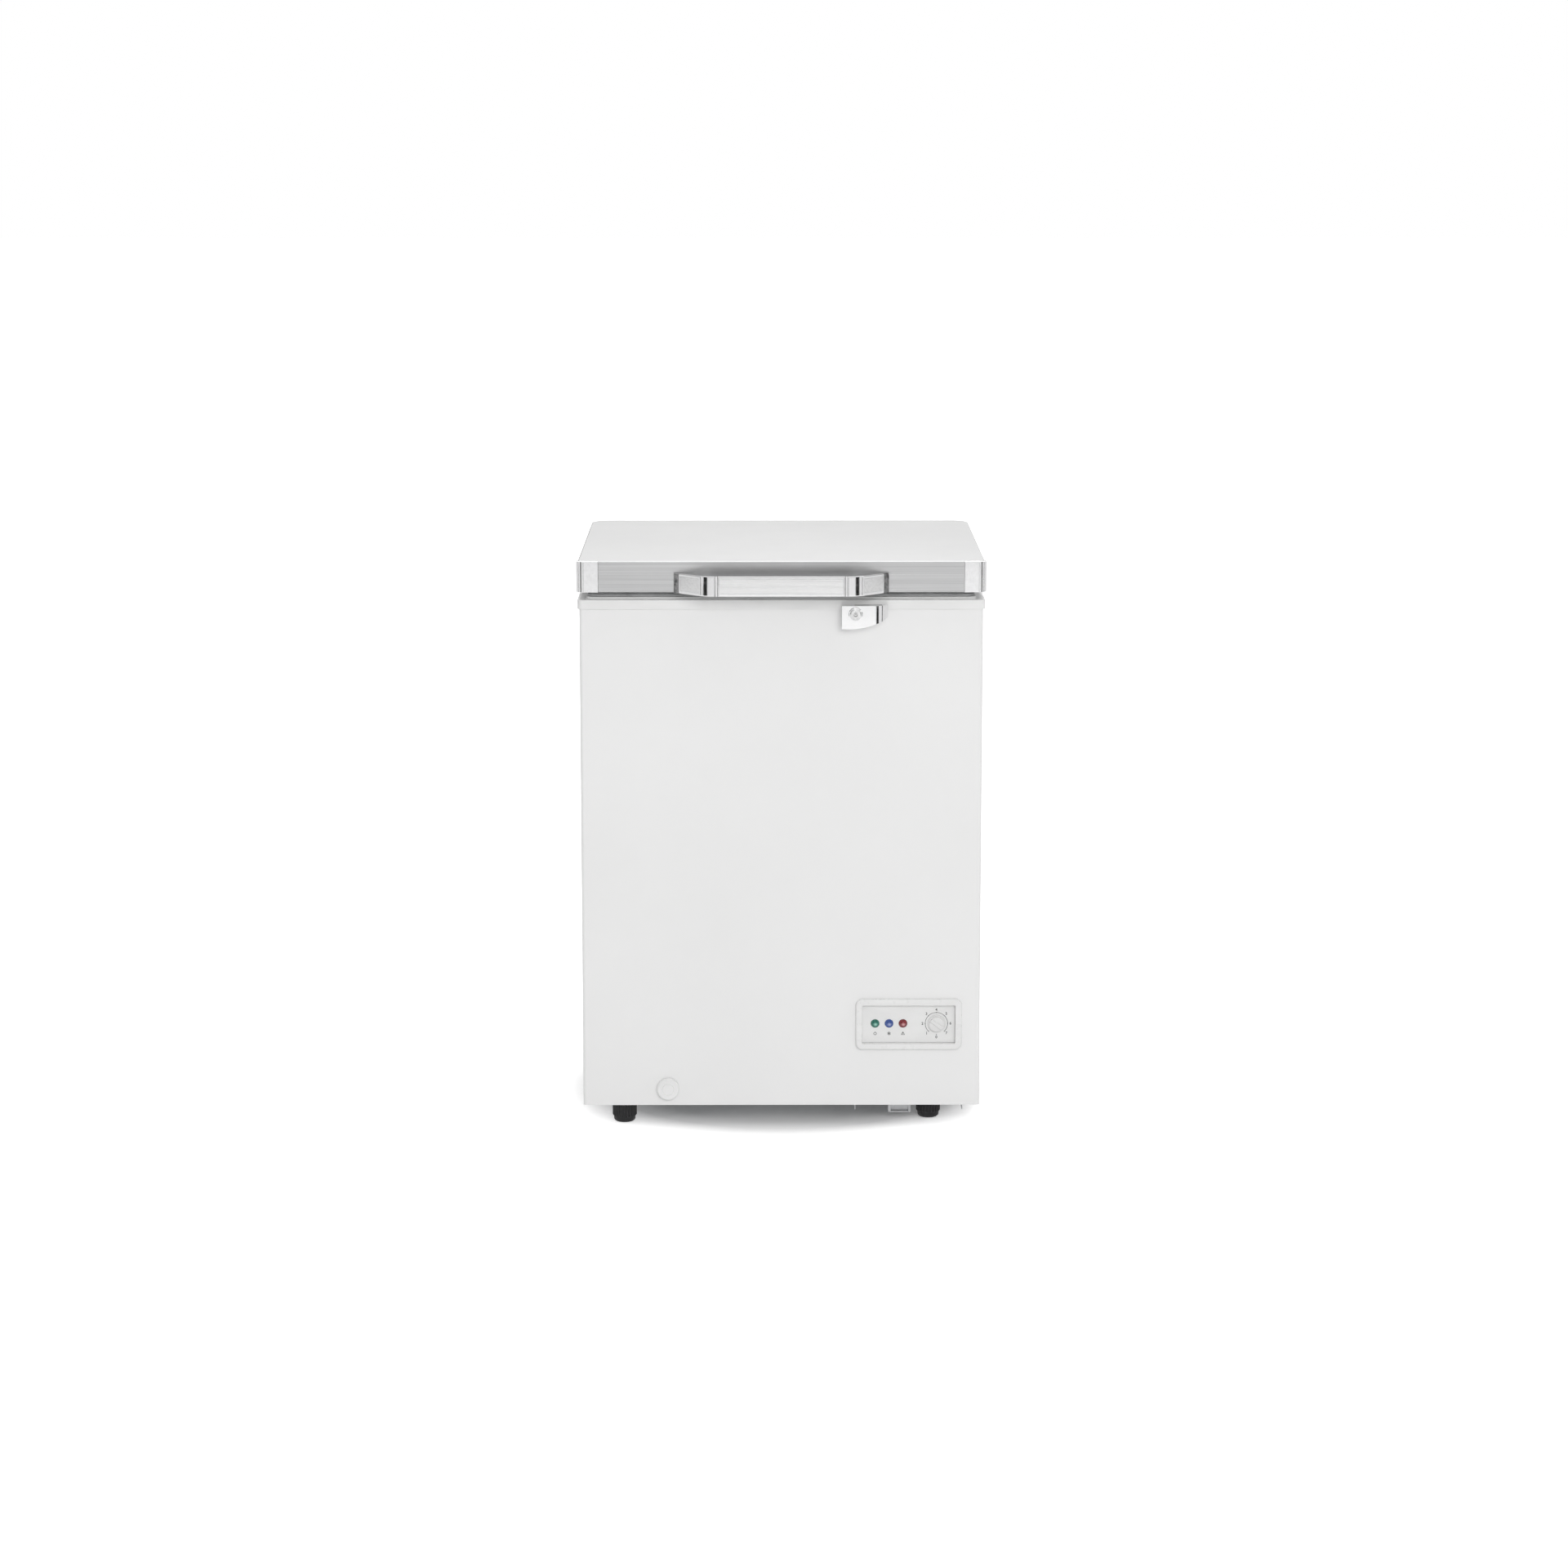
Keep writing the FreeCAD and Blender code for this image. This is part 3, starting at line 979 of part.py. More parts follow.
def lid_gasket():
    """Hollow magnetic seal, a ring of two lips with a bellows groove between them."""
    x0, x1 = -X_FRAME + LAND_FROM + 2, X_FRAME - LAND_FROM - 2
    y0, y1 = Y_FRAME + LAND_FROM + 2, Y_FRAME_BACK - LAND_FROM - 2
    outer = (x0, x1, y0, y1, 14.0)
    z0, z1 = Z_LAND + FIT, Z_LID - 0.0
    body = ring(outer, inset(outer, GASKET_W), z0, z1)
    groove = ring(inset(outer, -2), inset(outer, 3.0), z0 + 3.2, z0 + 5.6)
    inner_groove = ring(inset(outer, GASKET_W - 3.0), inset(outer, GASKET_W + 2), z0 + 3.2, z0 + 5.6)
    return body.cut(groove).cut(inner_groove)


SLOT_X0 = BARREL_X + 4.5
SLOT_X1 = BARREL_X + 25.0


def lid_front_trim():
    """Brushed channel across the lid's front, open at the back, slotted below for the lock's hook."""
    y1 = Y_SKIN - FIT
    outer = box(-X_CAP, X_CAP, Y_TRIM, y1, Z_LID, Z_LID_TOP)
    hollow = box(-X_CAP - 1, X_CAP + 1, Y_TRIM + TRIM, y1 + 1, Z_LID + TRIM, Z_LID_TOP - TRIM)
    slot = box(SLOT_X0, SLOT_X1, Y_HOOK - 1, Y_HOOK + HOOK_THICK + 1, Z_LID - 1, Z_LID + TRIM + 1)
    holes = [screw_hole(at, into, length) for at, into, length in handle_screw_places()]
    return cut_all(outer.cut(hollow), [slot] + holes)


def corner_cap(side):
    """Plated cap round the lid's front corner: flat face, bead, rounded corner and a short side."""
    x_in, x_out = X_CAP + FIT, X_LID
    corner = 10.0
    back = Y_TRIM + 34.0
    y0 = Y_TRIM - 0.5
    outer = rounded(x_in, x_out, y0, back, Z_LID - 0.5, Z_LID_TOP, (0, corner, 0, 0))
    wall = 2.0
    hollow = rounded(x_in + wall, x_out - 1.2, y0 + wall, back + 1, Z_LID - 0.5 + wall, Z_LID_TOP - wall,
                     (0, corner - wall, 0, 0))
    skin_room = box(x_in - 1, X_SKIN + FIT, Y_SKIN - FIT, back + 1, Z_LID - 2, Z_LID_TOP + 1)
    groove = box(x_in + 20, x_in + 21.2, y0 - 1, y0 + 0.8, Z_LID - 2, Z_LID_TOP + 1)
    cap = outer.cut(hollow).cut(skin_room).cut(groove)
    return cap if side > 0 else mirrored(cap)


# handle, in plan: end plates on the trim, sloping arms, rounded shoulders and a straight bar
HANDLE_X = 149.0
HANDLE_Z0 = Z_LID - 1.0
HANDLE_H = 28.0
ARM_X = 142.0                # outer end of the sloping arm
SHOULDER_X = 112.0
BAR_X = 92.0
HANDLE_THICK = 11.0
END_PLATE = 5.0              # end plate's thickness at its outer edge
SHOULDER_BACK = 6.0          # the shoulder starts this far behind the bar's face
GROOVE_X = 89.5              # upright groove between shoulder and bar
GROOVE_R = 4.0
GROOVE_DEEP = 1.8
INLAY_DEEP = 1.0
INLAY_EDGE = 4.0
INLAY_GAP = 0.15
Z_HANDLE_TOP = HANDLE_Z0 + HANDLE_H


def handle_plan():
    """The handle's plan, drawn from the left end plate round the outside, then back along the inside."""
    y_foot = Y_TRIM - FIT
    y_arm = y_foot - END_PLATE - 2
    y_shoulder = Y_HANDLE + SHOULDER_BACK
    thick = HANDLE_THICK
    outer = [(HANDLE_X, y_foot), (HANDLE_X, y_foot - END_PLATE), (ARM_X, y_arm), (SHOULDER_X, y_shoulder)]
    inner = [(HANDLE_X, y_foot), (ARM_X - 16, y_foot), (SHOULDER_X - 12, y_shoulder + thick - 1),
             (BAR_X - 6, Y_HANDLE + thick)]
    left, right = ([V(side * x, y, HANDLE_Z0) for x, y in outer] for side in (-1, 1))
    inside = [V(x, y, HANDLE_Z0) for x, y in inner] + [V(-x, y, HANDLE_Z0) for x, y in inner[::-1]]
    bar_l, bar_r = V(-BAR_X, Y_HANDLE, HANDLE_Z0), V(BAR_X, Y_HANDLE, HANDLE_Z0)
    run = SHOULDER_X - BAR_X
    radius = (run ** 2 + SHOULDER_BACK ** 2) / (2 * SHOULDER_BACK)
    half_turn = math.asin(run / radius) / 2
    x_mid, y_mid = BAR_X + radius * math.sin(half_turn), Y_HANDLE + radius * (1 - math.cos(half_turn))
    edges = [Part.makeLine(a, b) for a, b in zip(left, left[1:])]
    edges.append(Part.Arc(left[-1], V(-x_mid, y_mid, HANDLE_Z0), bar_l).toShape())
    edges.append(Part.makeLine(bar_l, bar_r))
    edges.append(Part.Arc(bar_r, V(x_mid, y_mid, HANDLE_Z0), right[-1]).toShape())
    edges += [Part.makeLine(a, b) for a, b in zip(right[::-1], right[-2::-1])]
    edges += [Part.makeLine(a, b) for a, b in zip(inside, inside[1:])]
    return Part.Face(Part.Wire(edges)).extrude(V(0, 0, HANDLE_H))


def inlay_tools(edge, gap):
    """Shallow pockets in the handle's outer faces: one along the bar, one on each arm."""
    z0, z1 = HANDLE_Z0 + edge, Z_HANDLE_TOP - edge
    bar = box(-GROOVE_X + 4 + gap, GROOVE_X - 4 - gap, Y_HANDLE - 1, Y_HANDLE + INLAY_DEEP - gap, z0, z1)
    y_out, y_in = Y_TRIM - FIT - END_PLATE - 2, Y_HANDLE + SHOULDER_BACK
    slope = math.degrees(math.atan2(y_out - y_in, ARM_X - SHOULDER_X))
    length = math.hypot(y_out - y_in, ARM_X - SHOULDER_X)
    arm = box(2.0 + gap, length - 3.0 - gap, gap - INLAY_DEEP, 3.0, z0, z1)
    arm.rotate(V(0, 0, 0), Z_AXIS, 180 + slope)
    arm.translate(V(ARM_X, y_out, 0))
    return [bar, arm, mirrored(arm)]


def lid_handle():
    whole = handle_plan()
    ends = [e for e in whole.Edges if abs(e.CenterOfMass.z - (HANDLE_Z0 + Z_HANDLE_TOP) / 2) > 1]
    face_edges = [e for e in ends if e.CenterOfMass.y < Y_HANDLE + 3
                  or (abs(e.CenterOfMass.x) > SHOULDER_X + 5 and e.CenterOfMass.y < Y_TRIM - 12)]
    whole = whole.makeFillet(1.5, face_edges)
    holes = [rod(at, into, length + 1, SCREW_R + RUN) for at, into, length in handle_screw_places()]
    for side in (-1, 1):
        holes.append(rod(V(side * GROOVE_X, Y_HANDLE - GROOVE_R + GROOVE_DEEP, HANDLE_Z0 - 1), Z_AXIS,
                         HANDLE_H + 2, GROOVE_R))
    return cut_all(whole, inlay_tools(INLAY_EDGE, 0.0) + holes)


def handle_inlays():
    """Thin brushed plates glued in the handle's pockets."""
    whole = handle_plan()
    return Part.makeCompound([whole.common(tool).Solids[0]
                              for tool in inlay_tools(INLAY_EDGE + INLAY_GAP, INLAY_GAP)])


def handle_screw_places():
    """Screws from inside the trim into the handle's end blocks."""
    return [(V(sx * (HANDLE_X - 11), Y_TRIM + TRIM, HANDLE_Z0 + dz), Y_AXIS * -1, 5.0) for sx in (-1, 1)
            for dz in (8, HANDLE_H - 8)]


# ---------------------------------------------------------------- hinges
PIN_R = 3.0
PIN_HEAD = 1.6
PIN_BACK = 22.0              # pin behind the cabinet's back
PIN_ABOVE = 14.0             # pin above the top frame's lower edge
Y_PIN = Y_BACK + PIN_BACK
Z_PIN = Z_FRAME + PIN_ABOVE
KNUCKLE_R = PIN_R + 2.5
CAM_R = 9.0                  # base circle of the lobe: plunger travel per radian
CAM_DROP = 16.0              # contact below the pin with the lid shut
LOBE_W = 12.0
LID_OPEN = 80.0
Y_PLUNGER = Y_PIN - CAM_R
Z_PLUNGER = Z_PIN - CAM_DROP - FIT
NOSE_R = 3.2
NOSE = 18.0
PLUNGER_R = 7.6
PLUNGER_CAP = 4.0
PLUNGER_STEM = 30.0
SPRING_R = 6.2
SPRING_WIRE = 1.1
SPRING_TURNS = 12
STEM_R = SPRING_R - SPRING_WIRE - 1.0
GUIDE = 2.0
CHANNEL_FLOOR = 2.0
EAR_CLEAR = 2.5              # ears behind the top frame
EAR_OVER = 8.0               # ear's edge above and behind the pin
LEAF_HALF = 19.0
LEAF = 2.0
CHEEK = 3.0
Y_HINGE_BACK = Y_LID_BACK + HINGE_REACH
LEAF_HOLES = [(dx, z) for dx in (-11, 11) for z in (Z_LID + 13, Z_LID + 31)]


def lid_screws():
    """Screws that hold the hinge leaves to the lid's back."""
    places = []
    for side in (-1, 1):
        for dx, z in LEAF_HOLES:
            places.append((V(side * HINGE_X + dx, Y_LID_BACK + FIT + LEAF, z), Y_AXIS * -1,
                           LEAF + FIT + SHEET + 6))
    return places


def hinge_base(side):
    """Channel on the cabinet's back that holds the spring, with two ears for the pin."""
    x0, x1 = -HINGE_W / 2, HINGE_W / 2
    t = HINGE_SHEET
    channel = box(x0, x1, Y_BACK, Y_HINGE_BACK, HINGE_Z0, HINGE_TOP)
    channel = channel.cut(box(x0 + t, x1 - t, Y_BACK + t, Y_HINGE_BACK - t, HINGE_Z0 + CHANNEL_FLOOR,
                              HINGE_TOP + 1))
    y0, y1 = Y_FRAME_BACK + EAR_CLEAR, Y_PIN + EAR_OVER
    corners = [(y0, HINGE_TOP - 4), (y1, HINGE_TOP - 4), (y1, Z_PIN + 3), (Y_PIN + 4, Z_PIN + EAR_OVER),
               (Y_PIN - 4, Z_PIN + EAR_OVER), (y0, Z_PIN + 3)]
    ears = [outline(corners, "YZ", x, t) for x in (x0, x1 - t)]
    notch = box(x0 + t, x1 - t, Y_HINGE_BACK - t - 1, Y_HINGE_BACK + 1, HINGE_TOP - 14, HINGE_TOP + 1)
    seat = rod(V(0, Y_PLUNGER, HINGE_Z0 + 1), Z_AXIS, CHANNEL_FLOOR + 5, STEM_R)
    z_guide = HINGE_TOP - 3 - GUIDE
    guide = box(x0 + t / 2, x1 - t / 2, Y_BACK + t / 2, Y_PLUNGER + NOSE_R + 5, z_guide, z_guide + GUIDE)
    body = joined([channel, seat, guide] + ears).cut(notch)
    body = body.cut(rod(V(0, Y_PLUNGER, z_guide - 1), Z_AXIS, GUIDE + 2, NOSE_R + FIT))
    body = body.cut(rod(V(x0 - 1, Y_PIN, Z_PIN), X_AXIS, HINGE_W + 2, PIN_R))
    body.translate(V(side * HINGE_X, 0, 0))
    holes = [screw_hole(at, Y_AXIS * -1, length) for at, length in back_screws()]
    access = [rod(V(side * HINGE_X + dx, Y_HINGE_BACK - t - 1, z), Y_AXIS, 4, SCREW_HEAD_R + 1)
              for dx, z in HINGE_HOLES]
    return cut_all(body, holes + access)


def hinge_pin(side):
    """Pin with a head at each end, pressed in the base's ears; the leaf turns on it."""
    half = HINGE_W / 2
    x = side * HINGE_X
    shank = rod(V(x - half, Y_PIN, Z_PIN), X_AXIS, 2 * half, PIN_R)
    heads = [rod(V(end, Y_PIN, Z_PIN), X_AXIS, PIN_HEAD, PIN_R + 2)
             for end in (x - half - PIN_HEAD, x + half)]
    return joined([shank] + heads)


def cam_point(opened):
    """Point of the lobe that presses the plunger at this opening angle, drawn with the lid shut."""
    y, z = -CAM_R, CAM_R * opened - CAM_DROP
    c, s = math.cos(opened), math.sin(opened)
    return V(-LOBE_W / 2, Y_PIN + y * c - z * s, Z_PIN + y * s + z * c)


def hinge_leaf(side):
    """Plate on the lid's back, folded down to a knuckle whose involute lobe presses the plunger."""
    y_plate = Y_LID_BACK + FIT
    half = LEAF_HALF
    plate = box(-half, half, y_plate, y_plate + LEAF, Z_LID + 2, Z_LID_TOP - 4)
    corners = [(y_plate, Z_LID + 2), (y_plate, Z_LID + 26), (y_plate + LEAF, Z_LID + 26),
               (Y_PIN + 5.5, Z_PIN + 3),
               (Y_PIN + 3, Z_PIN - 5), (Y_PIN - 4, Z_PIN - 4.5), (Y_PIN - 8, Z_PIN + 2)]
    cheeks = [outline(corners, "YZ", x, CHEEK) for x in (-half, half - CHEEK)]
    knuckle = rod(V(-half, Y_PIN, Z_PIN), X_AXIS, 2 * half, KNUCKLE_R)
    steps = 8
    start, end = -0.1, math.radians(LID_OPEN) + 0.05
    flank = [cam_point(start + (end - start) * k / steps) for k in range(steps + 1)]
    curve = Part.BSplineCurve()
    curve.interpolate(flank)
    heel = V(-LOBE_W / 2, Y_PIN - 1, Z_PIN + KNUCKLE_R - 1)
    toe = V(-LOBE_W / 2, Y_PIN + 2, Z_PIN - KNUCKLE_R + 1)
    sides = [Part.makeLine(flank[-1], heel), Part.makeLine(heel, toe), Part.makeLine(toe, flank[0])]
    lobe = Part.Face(Part.Wire([curve.toShape()] + sides)).extrude(V(LOBE_W, 0, 0))
    body = joined([plate, knuckle, lobe] + cheeks)
    body = body.cut(rod(V(-HINGE_W, Y_PIN, Z_PIN), X_AXIS, 2 * HINGE_W, PIN_R + RUN))
    body.translate(V(side * HINGE_X, 0, 0))
    return cut_all(body, [screw_hole(at, into, length) for at, into, length in lid_screws()])


def hinge_plunger(side):
    """Spring plunger: a narrow nose under the lobe, a collar on the spring and a stem inside the coil."""
    x = side * HINGE_X
    nose = rod(V(x, Y_PLUNGER, Z_PLUNGER - NOSE), Z_AXIS, NOSE, NOSE_R)
    collar = rod(V(x, Y_PLUNGER, Z_PLUNGER - NOSE - PLUNGER_CAP), Z_AXIS, PLUNGER_CAP, PLUNGER_R)
    stem = rod(V(x, Y_PLUNGER, Z_PLUNGER - NOSE - PLUNGER_CAP - PLUNGER_STEM), Z_AXIS, PLUNGER_STEM, STEM_R)
    return joined([nose, collar, stem])


def hinge_spring(side):
    """Compression spring between the channel's floor and the plunger's collar."""
    z0 = HINGE_Z0 + CHANNEL_FLOOR + FIT + SPRING_WIRE
    z1 = Z_PLUNGER - NOSE - PLUNGER_CAP - FIT - SPRING_WIRE
    helix = Part.makeHelix((z1 - z0) / SPRING_TURNS, z1 - z0, SPRING_R)
    section = Part.Wire([Part.makeCircle(SPRING_WIRE, V(SPRING_R, 0, 0), Y_AXIS)])
    coil = Part.Wire(helix).makePipeShell([section], True, True)
    coil.translate(V(side * HINGE_X, Y_PLUNGER, z0))
    return coil


# ---------------------------------------------------------------- basket
BASKET_W = 195.0
BASKET_H = 165.0
BASKET_WIRE = 2.0
BASKET_FRAME = 2.6
BASKET_HOOK = 2.2
BASKET_GAP = 6.0             # basket to the tub's front and back walls
X_BASKET = -X_TUB + 8.0


def basket():
    """Wire basket that hangs on the frame's inner shelf by hooked ends."""
    r = BASKET_WIRE
    x0, x1 = X_BASKET, X_BASKET + BASKET_W
    y0, y1 = Y_TUB_FRONT + BASKET_GAP + PLASTIC, Y_TUB_BACK - BASKET_GAP - PLASTIC
    z1 = Z_SHELF - 8.0
    z0 = z1 - BASKET_H
    wires = []
    corner = 14.0
    for z, wire_r in ((z1, BASKET_FRAME), (z1 - BASKET_H * 0.5, r)):
        loop = plan_wire(x0, x1, y0, y1, z, (corner,) * 4)
        start = loop.Edges[0].Vertexes[0].Point
        wires.append(loop.makePipeShell([Part.Wire([Part.makeCircle(wire_r, start, X_AXIS)])], True, False))
    across = 11
    for k in range(across):
        y = y0 + corner + (y1 - y0 - 2 * corner) * k / (across - 1)
        wires.append(tube([V(x0, y, z1), V(x0, y, z0), V(x1, y, z0), V(x1, y, z1)], 8, r))
    along = 5
    for k in range(along):
        x = x0 + corner + (x1 - x0 - 2 * corner) * k / (along - 1)
        wires.append(tube([V(x, y0, z1), V(x, y0, z0 + 1.5), V(x, y1, z0 + 1.5), V(x, y1, z1)], 8, r))
    for x in (x0 + 40, x1 - 40):
        for y, out in ((y0, -1), (y1, 1)):
            reach = out * (BASKET_GAP + PLASTIC + 8)
            z_hook = Z_SHELF + FIT + BASKET_HOOK
            wires.append(tube([V(x, y, z1 - 6), V(x, y, z_hook), V(x, y + reach, z_hook)], 6, BASKET_HOOK))
    return welded(wires)


# ---------------------------------------------------------------- build
def cabinet_screws():
    fasteners = [screw(at, Y_AXIS * -1, length) for at, length in back_screws()]
    return Part.makeCompound(fasteners + mount_bolts())


def lid_fasteners():
    places = lid_screws() + handle_screw_places()
    return Part.makeCompound([screw(at, into, length) for at, into, length in places])


def build():
    parts = {
        "wrapper": wrapper(),
        "back_panel": back_panel(),
        "base_panel": base_panel(),
        "compressor_tray": compressor_tray(),
        "compartment_cover": compartment_cover(),
        "cord_gland": cord_gland(),
        "tub_liner": liner(),
        "cabinet_foam": cabinet_foam(),
        "top_frame": top_frame(),
        "evaporator_coil": evaporator_coil(),
        "condenser_coil": condenser_coil(),
        "compressor": compressor(),
        "relay_cover": relay_cover(),
        "mount_grommets": mount_grommets(),
        "pipework": pipework(),
        "filter_dryer": filter_dryer(),
        "control_bezel": control_bezel(),
        "control_fascia": control_fascia(),
        "lens_green": indicator_lens(LENS_X[0]),
        "lens_blue": indicator_lens(LENS_X[1]),
        "lens_red": indicator_lens(LENS_X[2]),
        "lamp_board": lamp_board(),
        "thermostat_body": thermostat_body(),
        "thermostat_knob": thermostat_knob(),
        "drain_tube": drain_tube(),
        "drain_cap": drain_cap(),
        "drain_stopper": drain_stopper(),
        "lock_housing": lock_housing(),
        "lock_barrel": lock_barrel(),
        "lock_hook": lock_hook(),
        "cabinet_fasteners": cabinet_screws(),
        "lid_skin": lid_skin(),
        "lid_liner": lid_liner(),
        "lid_foam": lid_foam(),
        "lid_gasket": lid_gasket(),
        "lid_front_trim": lid_front_trim(),
        "lid_handle": lid_handle(),
        "handle_inlays": handle_inlays(),
        "lid_fasteners": lid_fasteners(),
        "basket": basket(),
        "foot_nuts": Part.makeCompound([foot_nut(*place, TRAY if place[0] > 0 else SHEET)
                                        for place in FEET.values()]),
        "hinge_pins": Part.makeCompound([hinge_pin(-1), hinge_pin(1)]),
    }
    for side, word in ((-1, "left"), (1, "right")):
        parts["corner_cap_" + word] = corner_cap(side)
        parts["hinge_base_" + word] = hinge_base(side)
        parts["hinge_leaf_" + word] = hinge_leaf(side)
        parts["hinge_plunger_" + word] = hinge_plunger(side)
        parts["hinge_spring_" + word] = hinge_spring(side)
    for name, place in FEET.items():
        parts["foot_knob_" + name] = foot_knob(*place)
        parts["foot_stud_" + name] = foot_stud(*place)
    return parts


def main():
    os.makedirs("parts", exist_ok=True)
    for name, shape in build().items():
        solids = shape.Solids
        state = "ok" if shape.isValid() and solids else "NOT VALID"
        b = shape.BoundBox
        print(f"{name:24s} {state} solids {len(solids)} volume {shape.Volume / 1000:.1f} cm3 "
              f"x {b.XMin:.1f}..{b.XMax:.1f} y {b.YMin:.1f}..{b.YMax:.1f} z {b.ZMin:.1f}..{b.ZMax:.1f}")
        shape.exportStep(f"parts/{name}.step")


main()
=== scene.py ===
# %% [markdown]
# # A small chest freezer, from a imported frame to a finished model
# The frame holds the exact sizes and everything that moves. This lesson dresses it: each step says what a
# piece is on the real appliance, how it could be made in Blender, and why one way was chosen.

# %% Load the frame
import json
import math

import bmesh
import bpy
from mathutils import Matrix, Vector


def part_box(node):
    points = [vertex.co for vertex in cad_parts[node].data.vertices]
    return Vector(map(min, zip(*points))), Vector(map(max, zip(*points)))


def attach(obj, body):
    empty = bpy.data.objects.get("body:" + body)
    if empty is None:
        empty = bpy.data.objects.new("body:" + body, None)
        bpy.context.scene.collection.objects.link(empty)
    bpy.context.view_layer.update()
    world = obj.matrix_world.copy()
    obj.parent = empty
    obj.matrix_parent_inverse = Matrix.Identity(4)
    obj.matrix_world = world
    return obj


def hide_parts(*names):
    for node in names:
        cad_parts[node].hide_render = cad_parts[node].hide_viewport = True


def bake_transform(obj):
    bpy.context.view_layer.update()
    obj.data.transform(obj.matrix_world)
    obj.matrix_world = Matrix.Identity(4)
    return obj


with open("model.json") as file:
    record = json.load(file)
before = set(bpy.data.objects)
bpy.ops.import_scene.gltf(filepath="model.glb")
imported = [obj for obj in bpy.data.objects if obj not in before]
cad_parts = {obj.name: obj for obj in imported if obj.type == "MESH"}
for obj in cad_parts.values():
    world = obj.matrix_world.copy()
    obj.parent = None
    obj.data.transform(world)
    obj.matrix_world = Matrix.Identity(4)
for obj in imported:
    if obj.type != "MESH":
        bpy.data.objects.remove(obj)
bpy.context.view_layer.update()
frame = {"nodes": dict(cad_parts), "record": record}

MM = 0.001
Z_AXIS = Vector((0, 0, 1))
nodes = frame["nodes"]

# %% [markdown]
# ## The camera and the light
# The camera stands at standing height, square to the freezer's front, with a long lens, so the sides hardly
# converge. The camera looks down a little, which shows the lid's top as a narrow band. A camera with a
# large shift would keep the uprights parallel, but every other view would inherit that shift, so the camera
# is tilted instead.

# %% Place the camera
def in_scene(name, data):
    """A new object that holds this data, linked to the scene."""
    thing = bpy.data.objects.new(name, data)
    bpy.context.scene.collection.objects.link(thing)
    return thing


FRONT_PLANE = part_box("lid_front_trim")[0].y
CAMERA_DISTANCE = 5.56
CAMERA_HEIGHT = 1.485
CAMERA_SIDE = -0.023
TILT_DOWN = math.radians(10.07)
TURN_RIGHT = -0.0048
LENS = 92.7

camera_data = bpy.data.cameras.new("camera")
camera_data.lens = LENS
camera_data.clip_end = 60
camera = in_scene("camera", camera_data)
camera.location = (CAMERA_SIDE, FRONT_PLANE - CAMERA_DISTANCE, CAMERA_HEIGHT)
camera.rotation_euler = (math.pi / 2 - TILT_DOWN, 0, TURN_RIGHT)
bpy.context.scene.camera = camera
print("camera at", [round(v, 3) for v in camera.location], "lens", LENS, "mm")

# %% [markdown]
# A white appliance on white needs light that falls off gently: a big soft box overhead, one in front and a
# weaker one at each side. The world is seen as plain white, but plated metal needs something darker to
# reflect, so the world's light is grey at the horizon and brighter above. The floor also glows, to the
# camera only: fully some way off, so it meets the white backdrop, and not at all under the cabinet. That
# ramp is painted round the origin, so it deepens the cast shadow there but doesn't follow a piece that
# moves.


# %% Light the studio
def soft_box(name, at, look_at, size, power):
    data = bpy.data.lights.new(name, "AREA")
    data.shape = "RECTANGLE"
    data.size, data.size_y = size
    data.energy = power
    light = in_scene(name, data)
    light.location = at
    light.rotation_euler = (Vector(look_at) - Vector(at)).to_track_quat("-Z", "Y").to_euler()
    return light


MIDDLE = (0, 0, 0.45)
soft_box("overhead_box", (0.2, 0.1, 3.0), MIDDLE, (3.2, 2.6), 15)
front_box = soft_box("front_box", (0.9, -5.2, 2.3), MIDDLE, (2.6, 1.8), 95)
front_box.visible_glossy = False
soft_box("left_box", (-3.4, -1.6, 1.5), MIDDLE, (0.9, 2.2), 5)
soft_box("right_box", (3.4, -1.2, 1.7), MIDDLE, (1.2, 2.4), 6)
soft_box("back_box", (0.4, 4.2, 2.2), MIDDLE, (2.6, 1.6), 22)

world = bpy.data.worlds.new("studio")
bpy.context.scene.world = world
world.use_nodes = True
tree = world.node_tree
tree.nodes.clear()
where = tree.nodes.new("ShaderNodeTexCoord")
height = tree.nodes.new("ShaderNodeSeparateXYZ")
tree.links.new(where.outputs["Generated"], height.inputs[0])
shade = tree.nodes.new("ShaderNodeValToRGB")
shade.color_ramp.elements[0].position, shade.color_ramp.elements[0].color = 0.42, (0.80, 0.80, 0.80, 1)
shade.color_ramp.elements[1].position, shade.color_ramp.elements[1].color = 0.86, (0.95, 0.95, 0.95, 1)
for position, grey in ((0.50, 0.30), (0.56, 0.42), (0.66, 0.80)):
    shade.color_ramp.elements.new(position).color = (grey, grey, grey, 1)
half_up = tree.nodes.new("ShaderNodeMath")
half_up.operation = "MULTIPLY_ADD"
half_up.inputs[1].default_value = half_up.inputs[2].default_value = 0.5
tree.links.new(height.outputs["Z"], half_up.inputs[0])
tree.links.new(half_up.outputs[0], shade.inputs[0])
lighting = tree.nodes.new("ShaderNodeBackground")
lighting.inputs["Strength"].default_value = 0.62
tree.links.new(shade.outputs["Color"], lighting.inputs["Color"])
backdrop = tree.nodes.new("ShaderNodeBackground")
backdrop.inputs["Color"].default_value = (1, 1, 1, 1)
rays = tree.nodes.new("ShaderNodeLightPath")
either = tree.nodes.new("ShaderNodeMixShader")
tree.links.new(rays.outputs["Is Camera Ray"], either.inputs[0])
tree.links.new(lighting.outputs[0], either.inputs[1])
tree.links.new(backdrop.outputs[0], either.inputs[2])
world_out = tree.nodes.new("ShaderNodeOutputWorld")
tree.links.new(either.outputs[0], world_out.inputs["Surface"])
bpy.context.scene.view_settings.view_transform = "Standard"

